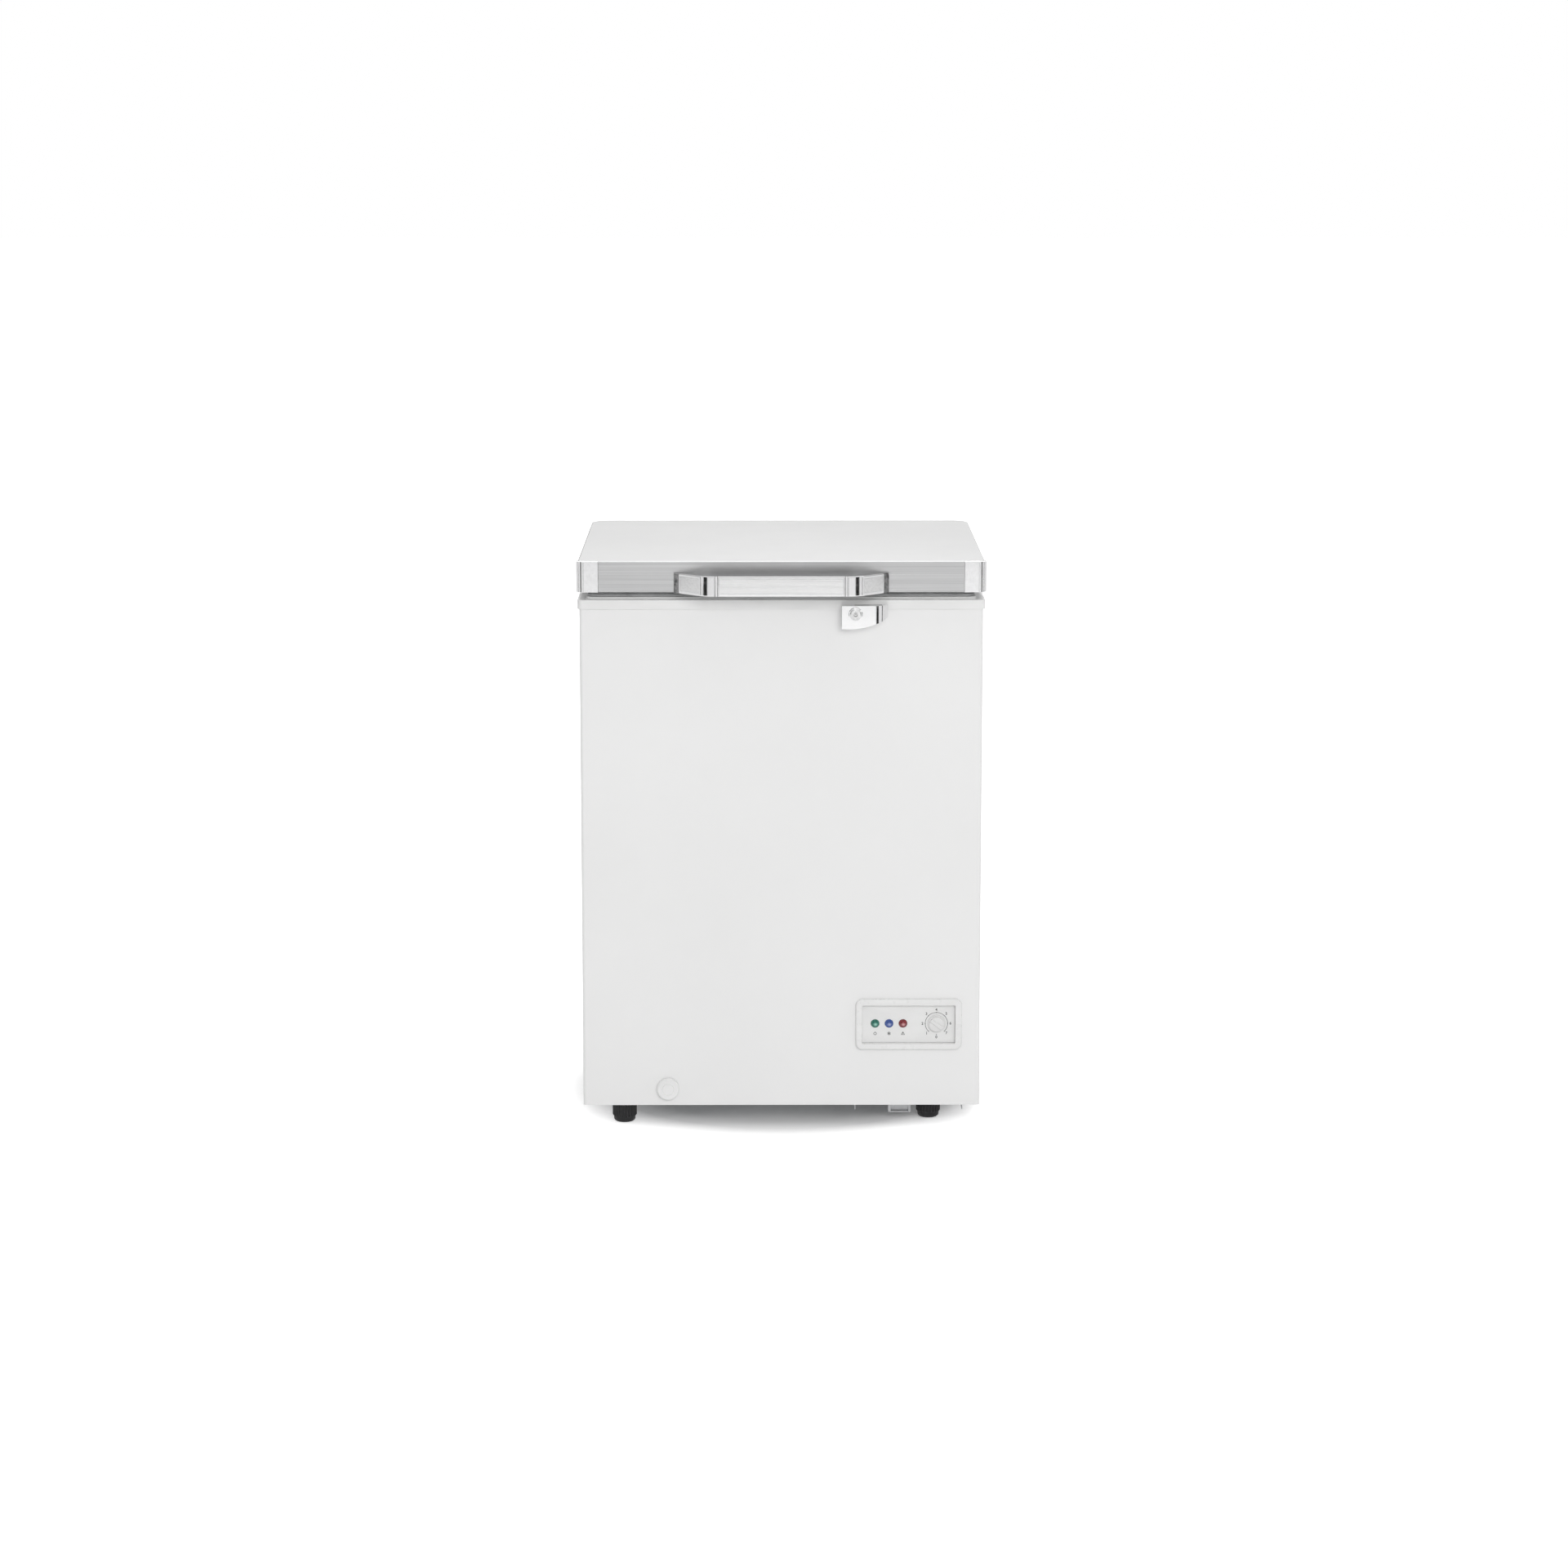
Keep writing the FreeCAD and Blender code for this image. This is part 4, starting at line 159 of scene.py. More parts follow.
# %% Lay the floor
FLOOR_SIZE = 60.0
GLOW_REACH = 2.6             # metres from the origin to the ramp's end
GLOW_STOPS = ((0.0, 0.0), (0.080, 0.0), (0.098, 0.10), (0.112, 0.42), (0.130, 0.72), (0.160, 0.92),
              (0.40, 1.05), (1.0, 1.15))
BASE_GLOW, GLOSSY_GLOW = 0.05, 0.22
floor_mesh = bpy.data.meshes.new("floor")
half = FLOOR_SIZE / 2
floor_mesh.from_pydata([(-half, -half, 0), (half, -half, 0), (half, half, 0), (-half, half, 0)], [],
                       [(0, 1, 2, 3)])
floor = in_scene("floor", floor_mesh)
floor_paint = bpy.data.materials.new("pale_floor")
floor_paint.use_nodes = True
floor_tree = floor_paint.node_tree
floor_node, floor_link = floor_tree.nodes.new, floor_tree.links.new
floor_shader = floor_tree.nodes["Principled BSDF"]
floor_shader.inputs["Base Color"].default_value = (0.86, 0.86, 0.86, 1)
floor_shader.inputs["Roughness"].default_value = 0.9
floor_shader.inputs["Specular IOR Level"].default_value = 0.1
floor_shader.inputs["Emission Color"].default_value = (1, 1, 1, 1)
floor_place = floor_node("ShaderNodeTexCoord")
floor_reach = floor_node("ShaderNodeVectorMath")
floor_reach.operation = "LENGTH"
floor_share = floor_node("ShaderNodeMapRange")
floor_share.inputs["From Max"].default_value = GLOW_REACH
floor_glow = floor_node("ShaderNodeValToRGB")
stops = floor_glow.color_ramp.elements
for position, glow in GLOW_STOPS:
    stop = stops[0] if position == 0.0 else stops[-1] if position == 1.0 else stops.new(position)
    stop.color = (glow, glow, glow, 1)
floor_rays = floor_node("ShaderNodeLightPath")
floor_mix = floor_node("ShaderNodeMix")
floor_other = floor_node("ShaderNodeMath")
floor_other.operation = "MULTIPLY_ADD"
floor_other.inputs[1].default_value, floor_other.inputs[2].default_value = GLOSSY_GLOW, BASE_GLOW
floor_link(floor_place.outputs["Object"], floor_reach.inputs[0])
floor_link(floor_reach.outputs["Value"], floor_share.inputs["Value"])
floor_link(floor_share.outputs["Result"], floor_glow.inputs["Fac"])
floor_link(floor_rays.outputs["Is Glossy Ray"], floor_other.inputs[0])
floor_link(floor_other.outputs[0], floor_mix.inputs["A"])
floor_link(floor_rays.outputs["Is Camera Ray"], floor_mix.inputs["Factor"])
floor_link(floor_glow.outputs["Color"], floor_mix.inputs["B"])
floor_link(floor_mix.outputs["Result"], floor_shader.inputs["Emission Strength"])
floor_mesh.materials.append(floor_paint)

# %% [markdown]
# Bright metal only looks like metal when it has something dark to mirror. Studios stand black cards just
# out of view, so two pairs stand here as well, a wide pair in front and a narrow pair at the sides. Only
# reflections see them: they cast no shadow and aren't in shot.


# %% Black cards for the plated parts
CARD_LIFT = 0.02             # clear of the floor


def dark_card(name, x, y, wide, tall, turn):
    mesh = bpy.data.meshes.new(name)
    half = wide / 2
    mesh.from_pydata([(-half, 0, 0), (half, 0, 0), (half, 0, tall), (-half, 0, tall)], [], [(0, 1, 2, 3)])
    card = in_scene(name, mesh)
    card.location, card.rotation_euler = (x, y, CARD_LIFT), (0, 0, turn)
    card_black = bpy.data.materials.new(name)
    card_black.use_nodes = True
    shader = card_black.node_tree.nodes["Principled BSDF"]
    shader.inputs["Base Color"].default_value = (0.01, 0.01, 0.01, 1)
    shader.inputs["Roughness"].default_value = 1.0
    mesh.materials.append(card_black)
    card.visible_camera = card.visible_diffuse = card.visible_shadow = False


for side, hand in ((-1, "left"), (1, "right")):
    dark_card("card_near_" + hand, side * 1.75, -2.1, 0.75, 1.6, side * 0.7)
    dark_card("card_far_" + hand, side * 1.9, -0.62, 0.2, 1.3, side * 1.35)

# %% [markdown]
# ## Finishes
# Every finish is a Principled shader with a few procedural layers, all on Object coordinates, so a pattern
# keeps its real scale in metres and moves with its piece. `finish` sets the plain values on the shader's
# own sockets. Then `grain` makes a noise at a real size, and `tint`, `polish` and `relief` let it touch
# colour, gloss and bump.


# %% Layers shared by all finishes
def finish(name, color, roughness, metallic=0.0, coat=0.0, coat_roughness=0.1, specular=0.5, sheen=0.0):
    material = bpy.data.materials.new(name)
    material.use_nodes = True
    values = {"Base Color": (*color, 1), "Roughness": roughness, "Metallic": metallic, "Coat Weight": coat,
              "Coat Roughness": coat_roughness, "Specular IOR Level": specular, "Sheen Weight": sheen}
    for socket, value in values.items():
        material.node_tree.nodes["Principled BSDF"].inputs[socket].default_value = value
    return material


def place_in(material, stretch=(1, 1, 1)):
    """Object coordinates in metres, stretched along the axes."""
    tree = material.node_tree
    coordinate = tree.nodes.new("ShaderNodeTexCoord")
    mapping = tree.nodes.new("ShaderNodeMapping")
    mapping.inputs["Scale"].default_value = stretch
    tree.links.new(coordinate.outputs["Object"], mapping.inputs["Vector"])
    return mapping.outputs["Vector"]


def grain(material, per_metre, detail=2.0, stretch=(1, 1, 1), rough=0.5):
    """Noise whose features repeat this many times in a metre."""
    noise = material.node_tree.nodes.new("ShaderNodeTexNoise")
    noise.inputs["Scale"].default_value = per_metre
    noise.inputs["Detail"].default_value = detail
    noise.inputs["Roughness"].default_value = rough
    material.node_tree.links.new(place_in(material, stretch), noise.inputs["Vector"])
    return noise.outputs["Fac"]


def cells(material, per_metre, feature="F1"):
    voronoi = material.node_tree.nodes.new("ShaderNodeTexVoronoi")
    voronoi.feature = feature
    voronoi.inputs["Scale"].default_value = per_metre
    material.node_tree.links.new(place_in(material), voronoi.inputs["Vector"])
    return voronoi


def between(material, value, low, high, from_low=0.3, from_high=0.7):
    """The value carried from one range to another."""
    spread = material.node_tree.nodes.new("ShaderNodeMapRange")
    spread.inputs["From Min"].default_value, spread.inputs["From Max"].default_value = from_low, from_high
    spread.inputs["To Min"].default_value, spread.inputs["To Max"].default_value = low, high
    material.node_tree.links.new(value, spread.inputs["Value"])
    return spread.outputs["Result"]


def mixed(material, share, first, second):
    """Colour between two, each a colour or another layer's output."""
    tree = material.node_tree
    mix = tree.nodes.new("ShaderNodeMix")
    mix.data_type = "RGBA"
    tree.links.new(share, mix.inputs["Factor"])
    for socket, colour in ((mix.inputs["A"], first), (mix.inputs["B"], second)):
        if isinstance(colour, (tuple, list)):
            socket.default_value = (*colour, 1)
        else:
            tree.links.new(colour, socket)
    return mix.outputs["Result"]


def drive(material, socket, layer):
    tree = material.node_tree
    tree.links.new(layer, tree.nodes["Principled BSDF"].inputs[socket])


def tint(material, colour):
    drive(material, "Base Color", colour)


def polish(material, value):
    drive(material, "Roughness", value)


def relief(material, height, depth, strength=1.0):
    """Bump of a real depth in metres; a second call goes on top of the first."""
    tree = material.node_tree
    shader = tree.nodes["Principled BSDF"]
    bump = tree.nodes.new("ShaderNodeBump")
    bump.inputs["Distance"].default_value = depth
    bump.inputs["Strength"].default_value = strength
    tree.links.new(height, bump.inputs["Height"])
    if shader.inputs["Normal"].is_linked:
        tree.links.new(shader.inputs["Normal"].links[0].from_socket, bump.inputs["Normal"])
    tree.links.new(bump.outputs["Normal"], shader.inputs["Normal"])


def scaled(colour, by):
    return tuple(min(c * by, 1.0) for c in colour)


# %% [markdown]
# White enamel on steel sheet is smooth and glossy, yet never a mirror: the dried spray leaves a fine orange
# peel, the sheet under it is faintly wavy, and cleaning leaves hairline swirls in the gloss. Three noises
# at three real sizes carry those, and the colour itself only moves by a percent or two.


# %% Painted sheet and moulded plastic
def enamel(name, colour, roughness=0.3, peel=0.000008):
    paint = finish(name, colour, roughness, coat=0.25, coat_roughness=0.12)
    cloud = grain(paint, 3.5, 3.0)
    tint(paint, mixed(paint, between(paint, cloud, 0, 1), scaled(colour, 0.982), scaled(colour, 1.012)))
    swirl = grain(paint, 24, 2.0, (1, 1, 0.55))
    polish(paint, between(paint, swirl, roughness - 0.02, roughness + 0.03))
    relief(paint, grain(paint, 420, 1.0), peel, 0.35)
    return paint


def moulded(name, colour, roughness, grain_size=0.0006, depth=0.00002):
    """Injection-moulded plastic: a fine eroded texture, faint flow marks and a slightly uneven gloss."""
    plastic = finish(name, colour, roughness, specular=0.45)
    flow = grain(plastic, 22, 4.0, (1, 1, 2.4))
    tint(plastic, mixed(plastic, between(plastic, flow, 0, 1), scaled(colour, 0.965), scaled(colour, 1.02)))
    polish(plastic, between(plastic, grain(plastic, 90, 4.0), roughness - 0.06, roughness + 0.07))
    relief(plastic, grain(plastic, 1 / grain_size, 2.0), depth)
    return plastic


cabinet_paint = enamel("cabinet_enamel", (0.86, 0.86, 0.857))
lid_paint = enamel("lid_enamel", (0.79, 0.79, 0.787), 0.44, 0.000001)
hinge_paint = enamel("hinge_powder_coat", (0.70, 0.70, 0.695), 0.42, 0.00004)
white_plastic = moulded("white_moulding", (0.85, 0.85, 0.845), 0.34)
bezel_plastic = moulded("bezel_moulding", (0.83, 0.83, 0.825), 0.30, 0.0005)
fascia_plastic = moulded("fascia_face", (0.84, 0.84, 0.835), 0.46, 0.0004)
inner_plastic = moulded("lid_liner_moulding", (0.78, 0.785, 0.79), 0.40)
knob_plastic = moulded("knob_moulding", (0.78, 0.78, 0.775), 0.36, 0.0004)
black_plastic = moulded("black_moulding", (0.018, 0.018, 0.019), 0.48, 0.0005, 0.00004)
grey_plastic = moulded("grey_drain_pipe", (0.42, 0.43, 0.44), 0.42)
print("paints and plastics:", len(bpy.data.materials))

# %% [markdown]
# Soft seals are rubber: matt, with a bloom of lighter dust and a skin of very small pits. The gasket is a
# grey extrusion, so it also has faint lines along its length, which the noise gets by being squeezed
# upright.


# %% Rubber
def rubbery(name, colour, roughness=0.62):
    rubber = finish(name, colour, roughness, specular=0.3, sheen=0.12)
    bloom = grain(rubber, 55, 5.0)
    tint(rubber, mixed(rubber, between(rubber, bloom, 0, 1), scaled(colour, 0.86), scaled(colour, 1.18)))
    polish(rubber, between(rubber, bloom, roughness - 0.08, roughness + 0.1))
    relief(rubber, grain(rubber, 1500, 2.0), 0.00003)
    return rubber


gasket_rubber = rubbery("gasket_rubber", (0.43, 0.435, 0.44), 0.55)
relief(gasket_rubber, grain(gasket_rubber, 1, 1.0, (5, 5, 2400)), 0.00004)
black_rubber = rubbery("black_rubber", (0.02, 0.02, 0.021))
stopper_rubber = rubbery("stopper_rubber", (0.30, 0.31, 0.32))

# %% [markdown]
# Brushed steel gets its look from thousands of fine parallel scratches. A noise squeezed to about a quarter
# of a millimetre across the grain and stretched to decimetres along it gives each scratch its own tone,
# gloss and height. Plated trim is a mirror with a veil: tiny scratches in the gloss and a very slight
# waviness that bends reflections.


# %% Bare and plated metals
def brushed(name, colour, roughness, along="x", strength=0.7):
    metal = finish(name, colour, roughness, metallic=1.0)
    fine, broad = {"x": ((9, 3600, 3600), (3, 420, 420)), "z": ((3600, 3600, 9), (420, 420, 3))}[along]
    hairs = grain(metal, 1, 2.0, fine, 0.7)
    bands = grain(metal, 1, 3.0, broad)
    tint(metal, mixed(metal, between(metal, bands, 0, 1), scaled(colour, 0.90), scaled(colour, 1.07)))
    polish(metal, between(metal, hairs, roughness - 0.09, roughness + 0.12))
    relief(metal, hairs, 0.00002, strength)
    relief(metal, grain(metal, 6, 1.0), 0.0004, 0.2)
    return metal


def plated(name, colour, roughness):
    metal = finish(name, colour, roughness, metallic=1.0)
    haze = grain(metal, 160, 6.0, rough=0.7)
    tint(metal, mixed(metal, between(metal, grain(metal, 25, 3.0), 0, 1), scaled(colour, 0.96), colour))
    polish(metal, between(metal, haze, max(roughness - 0.03, 0.02), roughness + 0.07))
    relief(metal, grain(metal, 70, 1.0), 0.00006, 0.35)
    relief(metal, grain(metal, 1, 2.0, (2600, 300, 300)), 0.000006, 0.5)
    return metal


trim_metal = brushed("brushed_trim", (0.71, 0.712, 0.715), 0.36)
inlay_metal = brushed("brushed_inlay", (0.96, 0.96, 0.96), 0.30)
chrome = plated("bright_plating", (0.90, 0.90, 0.905), 0.10)
cap_chrome = plated("satin_plating", (0.93, 0.93, 0.935), 0.20)
barrel_steel = brushed("barrel_steel", (0.84, 0.84, 0.84), 0.22, "z", 0.4)
zinc = plated("zinc_plating", (0.58, 0.60, 0.62), 0.34)
spring_steel = plated("spring_steel", (0.16, 0.16, 0.17), 0.36)
copper = plated("copper_tube", (0.78, 0.36, 0.20), 0.28)
dull_aluminium = plated("drawn_aluminium", (0.62, 0.63, 0.64), 0.38)

# %% [markdown]
# Galvanised sheet shows zinc crystals, or spangle: flat patches that each catch the light differently.
# Voronoi cells give each patch one value. The tub's sheet is stucco embossed, a pattern of small pebbles
# pressed in so that scratches and dents don't show, and that relief comes from the distance inside each
# cell.

# %% Galvanised and embossed sheet
galvanised = finish("galvanised_sheet", (0.52, 0.525, 0.53), 0.42, metallic=0.85)
spangle = cells(galvanised, 75)
spangle_value = galvanised.node_tree.nodes.new("ShaderNodeSeparateColor")
galvanised.node_tree.links.new(spangle.outputs["Color"], spangle_value.inputs[0])
patch = spangle_value.outputs["Red"]
tint(galvanised, mixed(galvanised, patch, (0.44, 0.447, 0.455), (0.64, 0.645, 0.655)))
polish(galvanised, between(galvanised, patch, 0.30, 0.52, 0, 1))
relief(galvanised, grain(galvanised, 600, 3.0), 0.00002)

stucco = finish("stucco_sheet", (0.74, 0.75, 0.765), 0.30, metallic=0.9)
pebble = cells(stucco, 210, "SMOOTH_F1")
pebble.inputs["Smoothness"].default_value = 0.5
relief(stucco, pebble.outputs["Distance"], 0.0008, 0.9)
tint(stucco, mixed(stucco, between(stucco, grain(stucco, 6, 2.0), 0, 1),
                   (0.70, 0.71, 0.73), (0.78, 0.79, 0.80)))
polish(stucco, between(stucco, grain(stucco, 300, 3.0), 0.24, 0.40))

foam = finish("insulation_foam", (0.83, 0.70, 0.40), 0.85, specular=0.2)
bubbles = cells(foam, 900)
tint(foam, mixed(foam, between(foam, bubbles.outputs["Distance"], 0, 1, 0, 1),
                 (0.78, 0.62, 0.33), (0.88, 0.77, 0.50)))
relief(foam, bubbles.outputs["Distance"], 0.0004)

black_enamel = enamel("compressor_enamel", (0.012, 0.012, 0.013), 0.30)
tube_lacquer = enamel("condenser_lacquer", (0.05, 0.05, 0.055), 0.40)
wire_coat = moulded("basket_coating", (0.80, 0.80, 0.795), 0.32, 0.001)
board_green = moulded("circuit_board", (0.03, 0.20, 0.08), 0.35)
ink = finish("printed_ink", (0.02, 0.02, 0.022), 0.5)
tint(ink, mixed(ink, between(ink, grain(ink, 2500, 2.0), 0, 1), (0.014, 0.014, 0.016), (0.03, 0.03, 0.034)))
polish(ink, between(ink, grain(ink, 900, 2.0), 0.42, 0.6))


HIGHLIGHT_SHIFT = (0.0006, -0.0008)          # the painted highlight sits a little off the lens's centre
HIGHLIGHT_INNER, HIGHLIGHT_OUTER = 0.0004, 0.0034  # painted highlight strongest inside the first radius, gone outside the second


def lens_finish(name, colour, lens_node):
    """Coloured moulding over a small lamp: deep rim, a painted highlight in the middle, hard gloss and a
    moulded prism pattern.
    """
    lens = finish(name, colour, 0.08, coat=1.0, coat_roughness=0.03)
    lens.node_tree.nodes["Principled BSDF"].inputs["Transmission Weight"].default_value = 0.25
    facets = cells(lens, 900)
    low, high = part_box(lens_node)
    reach = lens.node_tree.nodes.new("ShaderNodeVectorMath")
    reach.operation = "DISTANCE"
    lens.node_tree.links.new(place_in(lens), reach.inputs[0])
    reach.inputs[1].default_value = ((low.x + high.x) / 2 + HIGHLIGHT_SHIFT[0], low.y,
                                     (low.z + high.z) / 2 + HIGHLIGHT_SHIFT[1])
    # Painted highlight: the colour turns pale round a fixed point near the lens's middle.
    middle = between(lens, reach.outputs["Value"], 1, 0, HIGHLIGHT_INNER, HIGHLIGHT_OUTER)
    prism = mixed(lens, between(lens, facets.outputs["Distance"], 0, 1, 0, 0.9),
                  scaled(colour, 0.5), scaled(colour, 2.2))
    # the colour of the painted highlight, a lighter tone of the lens colour
    painted_highlight = tuple(0.38 + 0.45 * c / max(colour) for c in colour)
    tint(lens, mixed(lens, middle, prism, painted_highlight))
    relief(lens, facets.outputs["Distance"], 0.00018, 0.8)
    return lens


green_lens = lens_finish("green_lens", (0.004, 0.12, 0.085), "lens_green")
blue_lens = lens_finish("blue_lens", (0.025, 0.065, 0.26), "lens_blue")
red_lens = lens_finish("red_lens", (0.16, 0.004, 0.009), "lens_red")
print("finishes made:", len(bpy.data.materials))

# %% [markdown]
# ## Building tools
# Two helpers do most of the shaping. `dress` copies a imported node, welds its loose triangles, joins its
# flat faces and shades it smooth where it is curved, so the piece keeps its exact size and reads as formed
# metal. `spun` turns a profile round an axis, as a lathe or a round mould does. `keep_faces_flat` stops a
# rounded edge from bending the light on the sheet beside it.


# %% Shared shaping helpers
def new_object(name, mesh, material):
    mesh.materials.clear()
    mesh.materials.append(material)
    return in_scene(name, mesh)


def smooth_by_angle(mesh, degrees):
    """Smooth shading, with every edge sharper than the angle kept crisp."""
    soft = bmesh.new()
    soft.from_mesh(mesh)
    for face in soft.faces:
        face.smooth = True
    for edge in soft.edges:
        edge.smooth = len(edge.link_faces) == 2 and edge.calc_face_angle(math.pi) < math.radians(degrees)
    soft.to_mesh(mesh)
    soft.free()


def fit_to_frame(piece, body, slot, *stands_for):
    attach(piece, body)
    if stands_for:
        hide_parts(*stands_for)


def body_of_node(node):
    return next(body for body, members in frame["record"]["behaviour"]["bodies"].items() if node in members)


slot_of_node = {row["node"]: row["material_slot"] for row in frame["record"]["subparts"]}


def keep_faces_flat(mesh):
    """Weights each normal by face area, so a rounded edge doesn't bend the shading of the sheet by it."""
    carrier = in_scene("carrier", mesh)
    weigh = carrier.modifiers.new("weigh", "WEIGHTED_NORMAL")
    weigh.keep_sharp = True
    weigh.weight = 90
    bpy.context.view_layer.update()
    baked = bpy.data.meshes.new_from_object(carrier.evaluated_get(bpy.context.evaluated_depsgraph_get()))
    bpy.data.objects.remove(carrier)
    return baked


def dress(node, name, material, edge=0.0, degrees=28):
    """A welded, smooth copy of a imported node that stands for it, with its sharp edges rounded by edge."""
    source = nodes[node]
    mesh = source.data.copy()
    mesh.transform(source.matrix_world)
    shape = bmesh.new()
    shape.from_mesh(mesh)
    bmesh.ops.remove_doubles(shape, verts=shape.verts, dist=0.000002)
    bmesh.ops.dissolve_limit(shape, angle_limit=math.radians(0.3), verts=shape.verts, edges=shape.edges)
    if edge:
        sharp = [e for e in shape.edges if len(e.link_faces) == 2 and e.calc_face_angle(0) > math.radians(32)]
        bmesh.ops.bevel(shape, geom=sharp, offset=edge, segments=2, profile=0.6,
                        affect="EDGES", clamp_overlap=True)
    shape.to_mesh(mesh)
    shape.free()
    smooth_by_angle(mesh, degrees)
    if edge:
        mesh = keep_faces_flat(mesh)
    piece = new_object(name, mesh, material)
    fit_to_frame(piece, body_of_node(node), slot_of_node[node], node)


def mesh_from(name, points, faces):
    mesh = bpy.data.meshes.new(name)
    mesh.from_pydata([tuple(p) for p in points], [], faces)
    mesh.validate()
    shape = bmesh.new()
    shape.from_mesh(mesh)
    bmesh.ops.remove_doubles(shape, verts=shape.verts, dist=0.0000005)
    bmesh.ops.recalc_face_normals(shape, faces=shape.faces)
    shape.to_mesh(mesh)
    shape.free()
    return mesh


def spun(name, profile, centre, axis, material, steps=48, degrees=35):
    """Turns (radius, height) points round an axis that starts at centre; a radius of 0 closes the end."""
    turn = Matrix.Translation(Vector(centre)) @ axis.to_track_quat("Z", "Y").to_matrix().to_4x4()
    points, faces, rings = [], [], []
    for r, h in profile:
        if r <= 0:
            rings.append([len(points)])
            points.append(turn @ Vector((0, 0, h)))
        else:
            rings.append(list(range(len(points), len(points) + steps)))
            points += [turn @ Vector((r * math.cos(2 * math.pi * k / steps),
                                      r * math.sin(2 * math.pi * k / steps), h))
                       for k in range(steps)]
    for a, b in zip(rings, rings[1:]):
        for k in range(steps):
            n = (k + 1) % steps
            quad = (a[k % len(a)], a[n % len(a)], b[n % len(b)], b[k % len(b)])
            corners = tuple(dict.fromkeys(quad))
            if len(corners) > 2:
                faces.append(corners)
    mesh = mesh_from(name, points, faces)
    smooth_by_angle(mesh, degrees)
    return new_object(name, mesh, material)


def softened_profile(points, radius, steps=3):
    """The profile with each corner rounded by short steps; the two end points stay."""
    result = [points[0]]
    for before, corner, after in zip(points, points[1:], points[2:]):
        p, c, n = Vector(before), Vector(corner), Vector(after)
        reach = min(radius, (p - c).length * 0.45, (n - c).length * 0.45)
        start, end = c + (p - c).normalized() * reach, c + (n - c).normalized() * reach
        for k in range(steps + 1):
            t = k / steps
            result.append(tuple(start * (1 - t) ** 2 + c * 2 * t * (1 - t) + end * t ** 2))
    result.append(points[-1])
    return result

# %% [markdown]
# ## Geometry Nodes without a viewport
# Repeating things such as wires, ribs, coils, slots and dots follow rules, so a node tree builds them.
# `Graph` makes a tree with named inputs and adds nodes in short lines.


# %% A small builder for node trees
class Graph:
    def __init__(self, name):
        self.tree = bpy.data.node_groups.new(name, "GeometryNodeTree")
        self.tree.interface.new_socket("Geometry", in_out="OUTPUT", socket_type="NodeSocketGeometry")
        self.start = self.tree.nodes.new("NodeGroupInput")
        self.end = self.tree.nodes.new("NodeGroupOutput")
        self.values = {}

    def input(self, name, value, kind="NodeSocketFloat"):
        socket = self.tree.interface.new_socket(name, in_out="INPUT", socket_type=kind)
        self.values[socket.identifier] = value
        return next(s for s in self.start.outputs if s.identifier == socket.identifier)

    def add(self, kind, sockets=None, **settings):
        node = self.tree.nodes.new(kind)
        for key, value in settings.items():
            setattr(node, key, value)
        for key, value in (sockets or {}).items():
            socket = node.inputs[key]
            if isinstance(value, bpy.types.NodeSocket):
                self.tree.links.new(value, socket)
            else:
                socket.default_value = value
        return node

    def math(self, operation, first, second=0.0):
        return self.add("ShaderNodeMath", {0: first, 1: second}, operation=operation).outputs[0]

    def vector(self, x=0.0, y=0.0, z=0.0):
        return self.add("ShaderNodeCombineXYZ", {0: x, 1: y, 2: z}).outputs[0]

    def join(self, *parts):
        node = self.add("GeometryNodeJoinGeometry")
        for part in reversed(parts):
            self.tree.links.new(part, node.inputs[0])
        return node.outputs[0]

    def wire(self, curve, radius, sides=10):
        circle = self.add("GeometryNodeCurvePrimitiveCircle", {"Resolution": sides,
                                                                  "Radius": radius}).outputs[0]
        return self.add("GeometryNodeCurveToMesh", {"Curve": curve, "Profile Curve": circle,
                                                    "Fill Caps": True}).outputs[0]

    def rounded(self, curve, corner_points, radius, limit=False):
        return self.add("GeometryNodeFilletCurve", {"Curve": curve, "Count": corner_points, "Radius": radius,
                                                    "Limit Radius": limit}, mode="POLY").outputs[0]

    def bent_line(self, count, x, y, z):
        """A curve through count points whose coordinates are fields of the point's index."""
        line = self.add("GeometryNodeMeshLine", {"Count": count}).outputs[0]
        moved = self.add("GeometryNodeSetPosition", {0: line, "Position": self.vector(x, y, z)}).outputs[0]
        return self.add("GeometryNodeMeshToCurve", {0: moved}).outputs[0]

    def place(self, points, shape):
        return self.add("GeometryNodeInstanceOnPoints", {"Points": points, "Instance": shape}).outputs[0]

    def shift(self, part, offset, rotation=(0, 0, 0)):
        return self.add("GeometryNodeTransform", {0: part, "Translation": offset,
                                                       "Rotation": rotation}).outputs[0]


def grow(graph, name, part, material, degrees=40):
    """Ends the tree with Realize Instances and Set Material, evaluates it and keeps a plain mesh object."""
    solid = graph.add("GeometryNodeRealizeInstances", {0: part}).outputs[0]
    coated = graph.add("GeometryNodeSetMaterial", {0: solid, "Material": material}).outputs[0]
    graph.tree.links.new(coated, graph.end.inputs[0])
    seed = in_scene(name + "_seed", bpy.data.meshes.new(name + "_seed"))
    modifier = seed.modifiers.new("grow", "NODES")
    modifier.node_group = graph.tree
    for identifier, value in graph.values.items():
        modifier[identifier] = value
    bpy.context.view_layer.update()
    depsgraph = bpy.context.evaluated_depsgraph_get()
    mesh = bpy.data.meshes.new_from_object(seed.evaluated_get(depsgraph), depsgraph=depsgraph)
    mesh.name = name
    bpy.data.objects.remove(seed)
    smooth_by_angle(mesh, degrees)
    piece = new_object(name, mesh, material)
    print(name, "has", len(mesh.polygons), "faces from", len(graph.tree.nodes), "nodes")
    return piece


# %% [markdown]
# ## The cabinet's sheet metal
# One long sheet is folded round the front and both sides, a flat panel closes the back and plain galvanised
# sheets make the floor. They already have their real folds in the frame, so dressing them is the honest
# way: a modelled box would lose the hems. A third of a millimetre of bevel stands for the bend radius that
# catches the light.

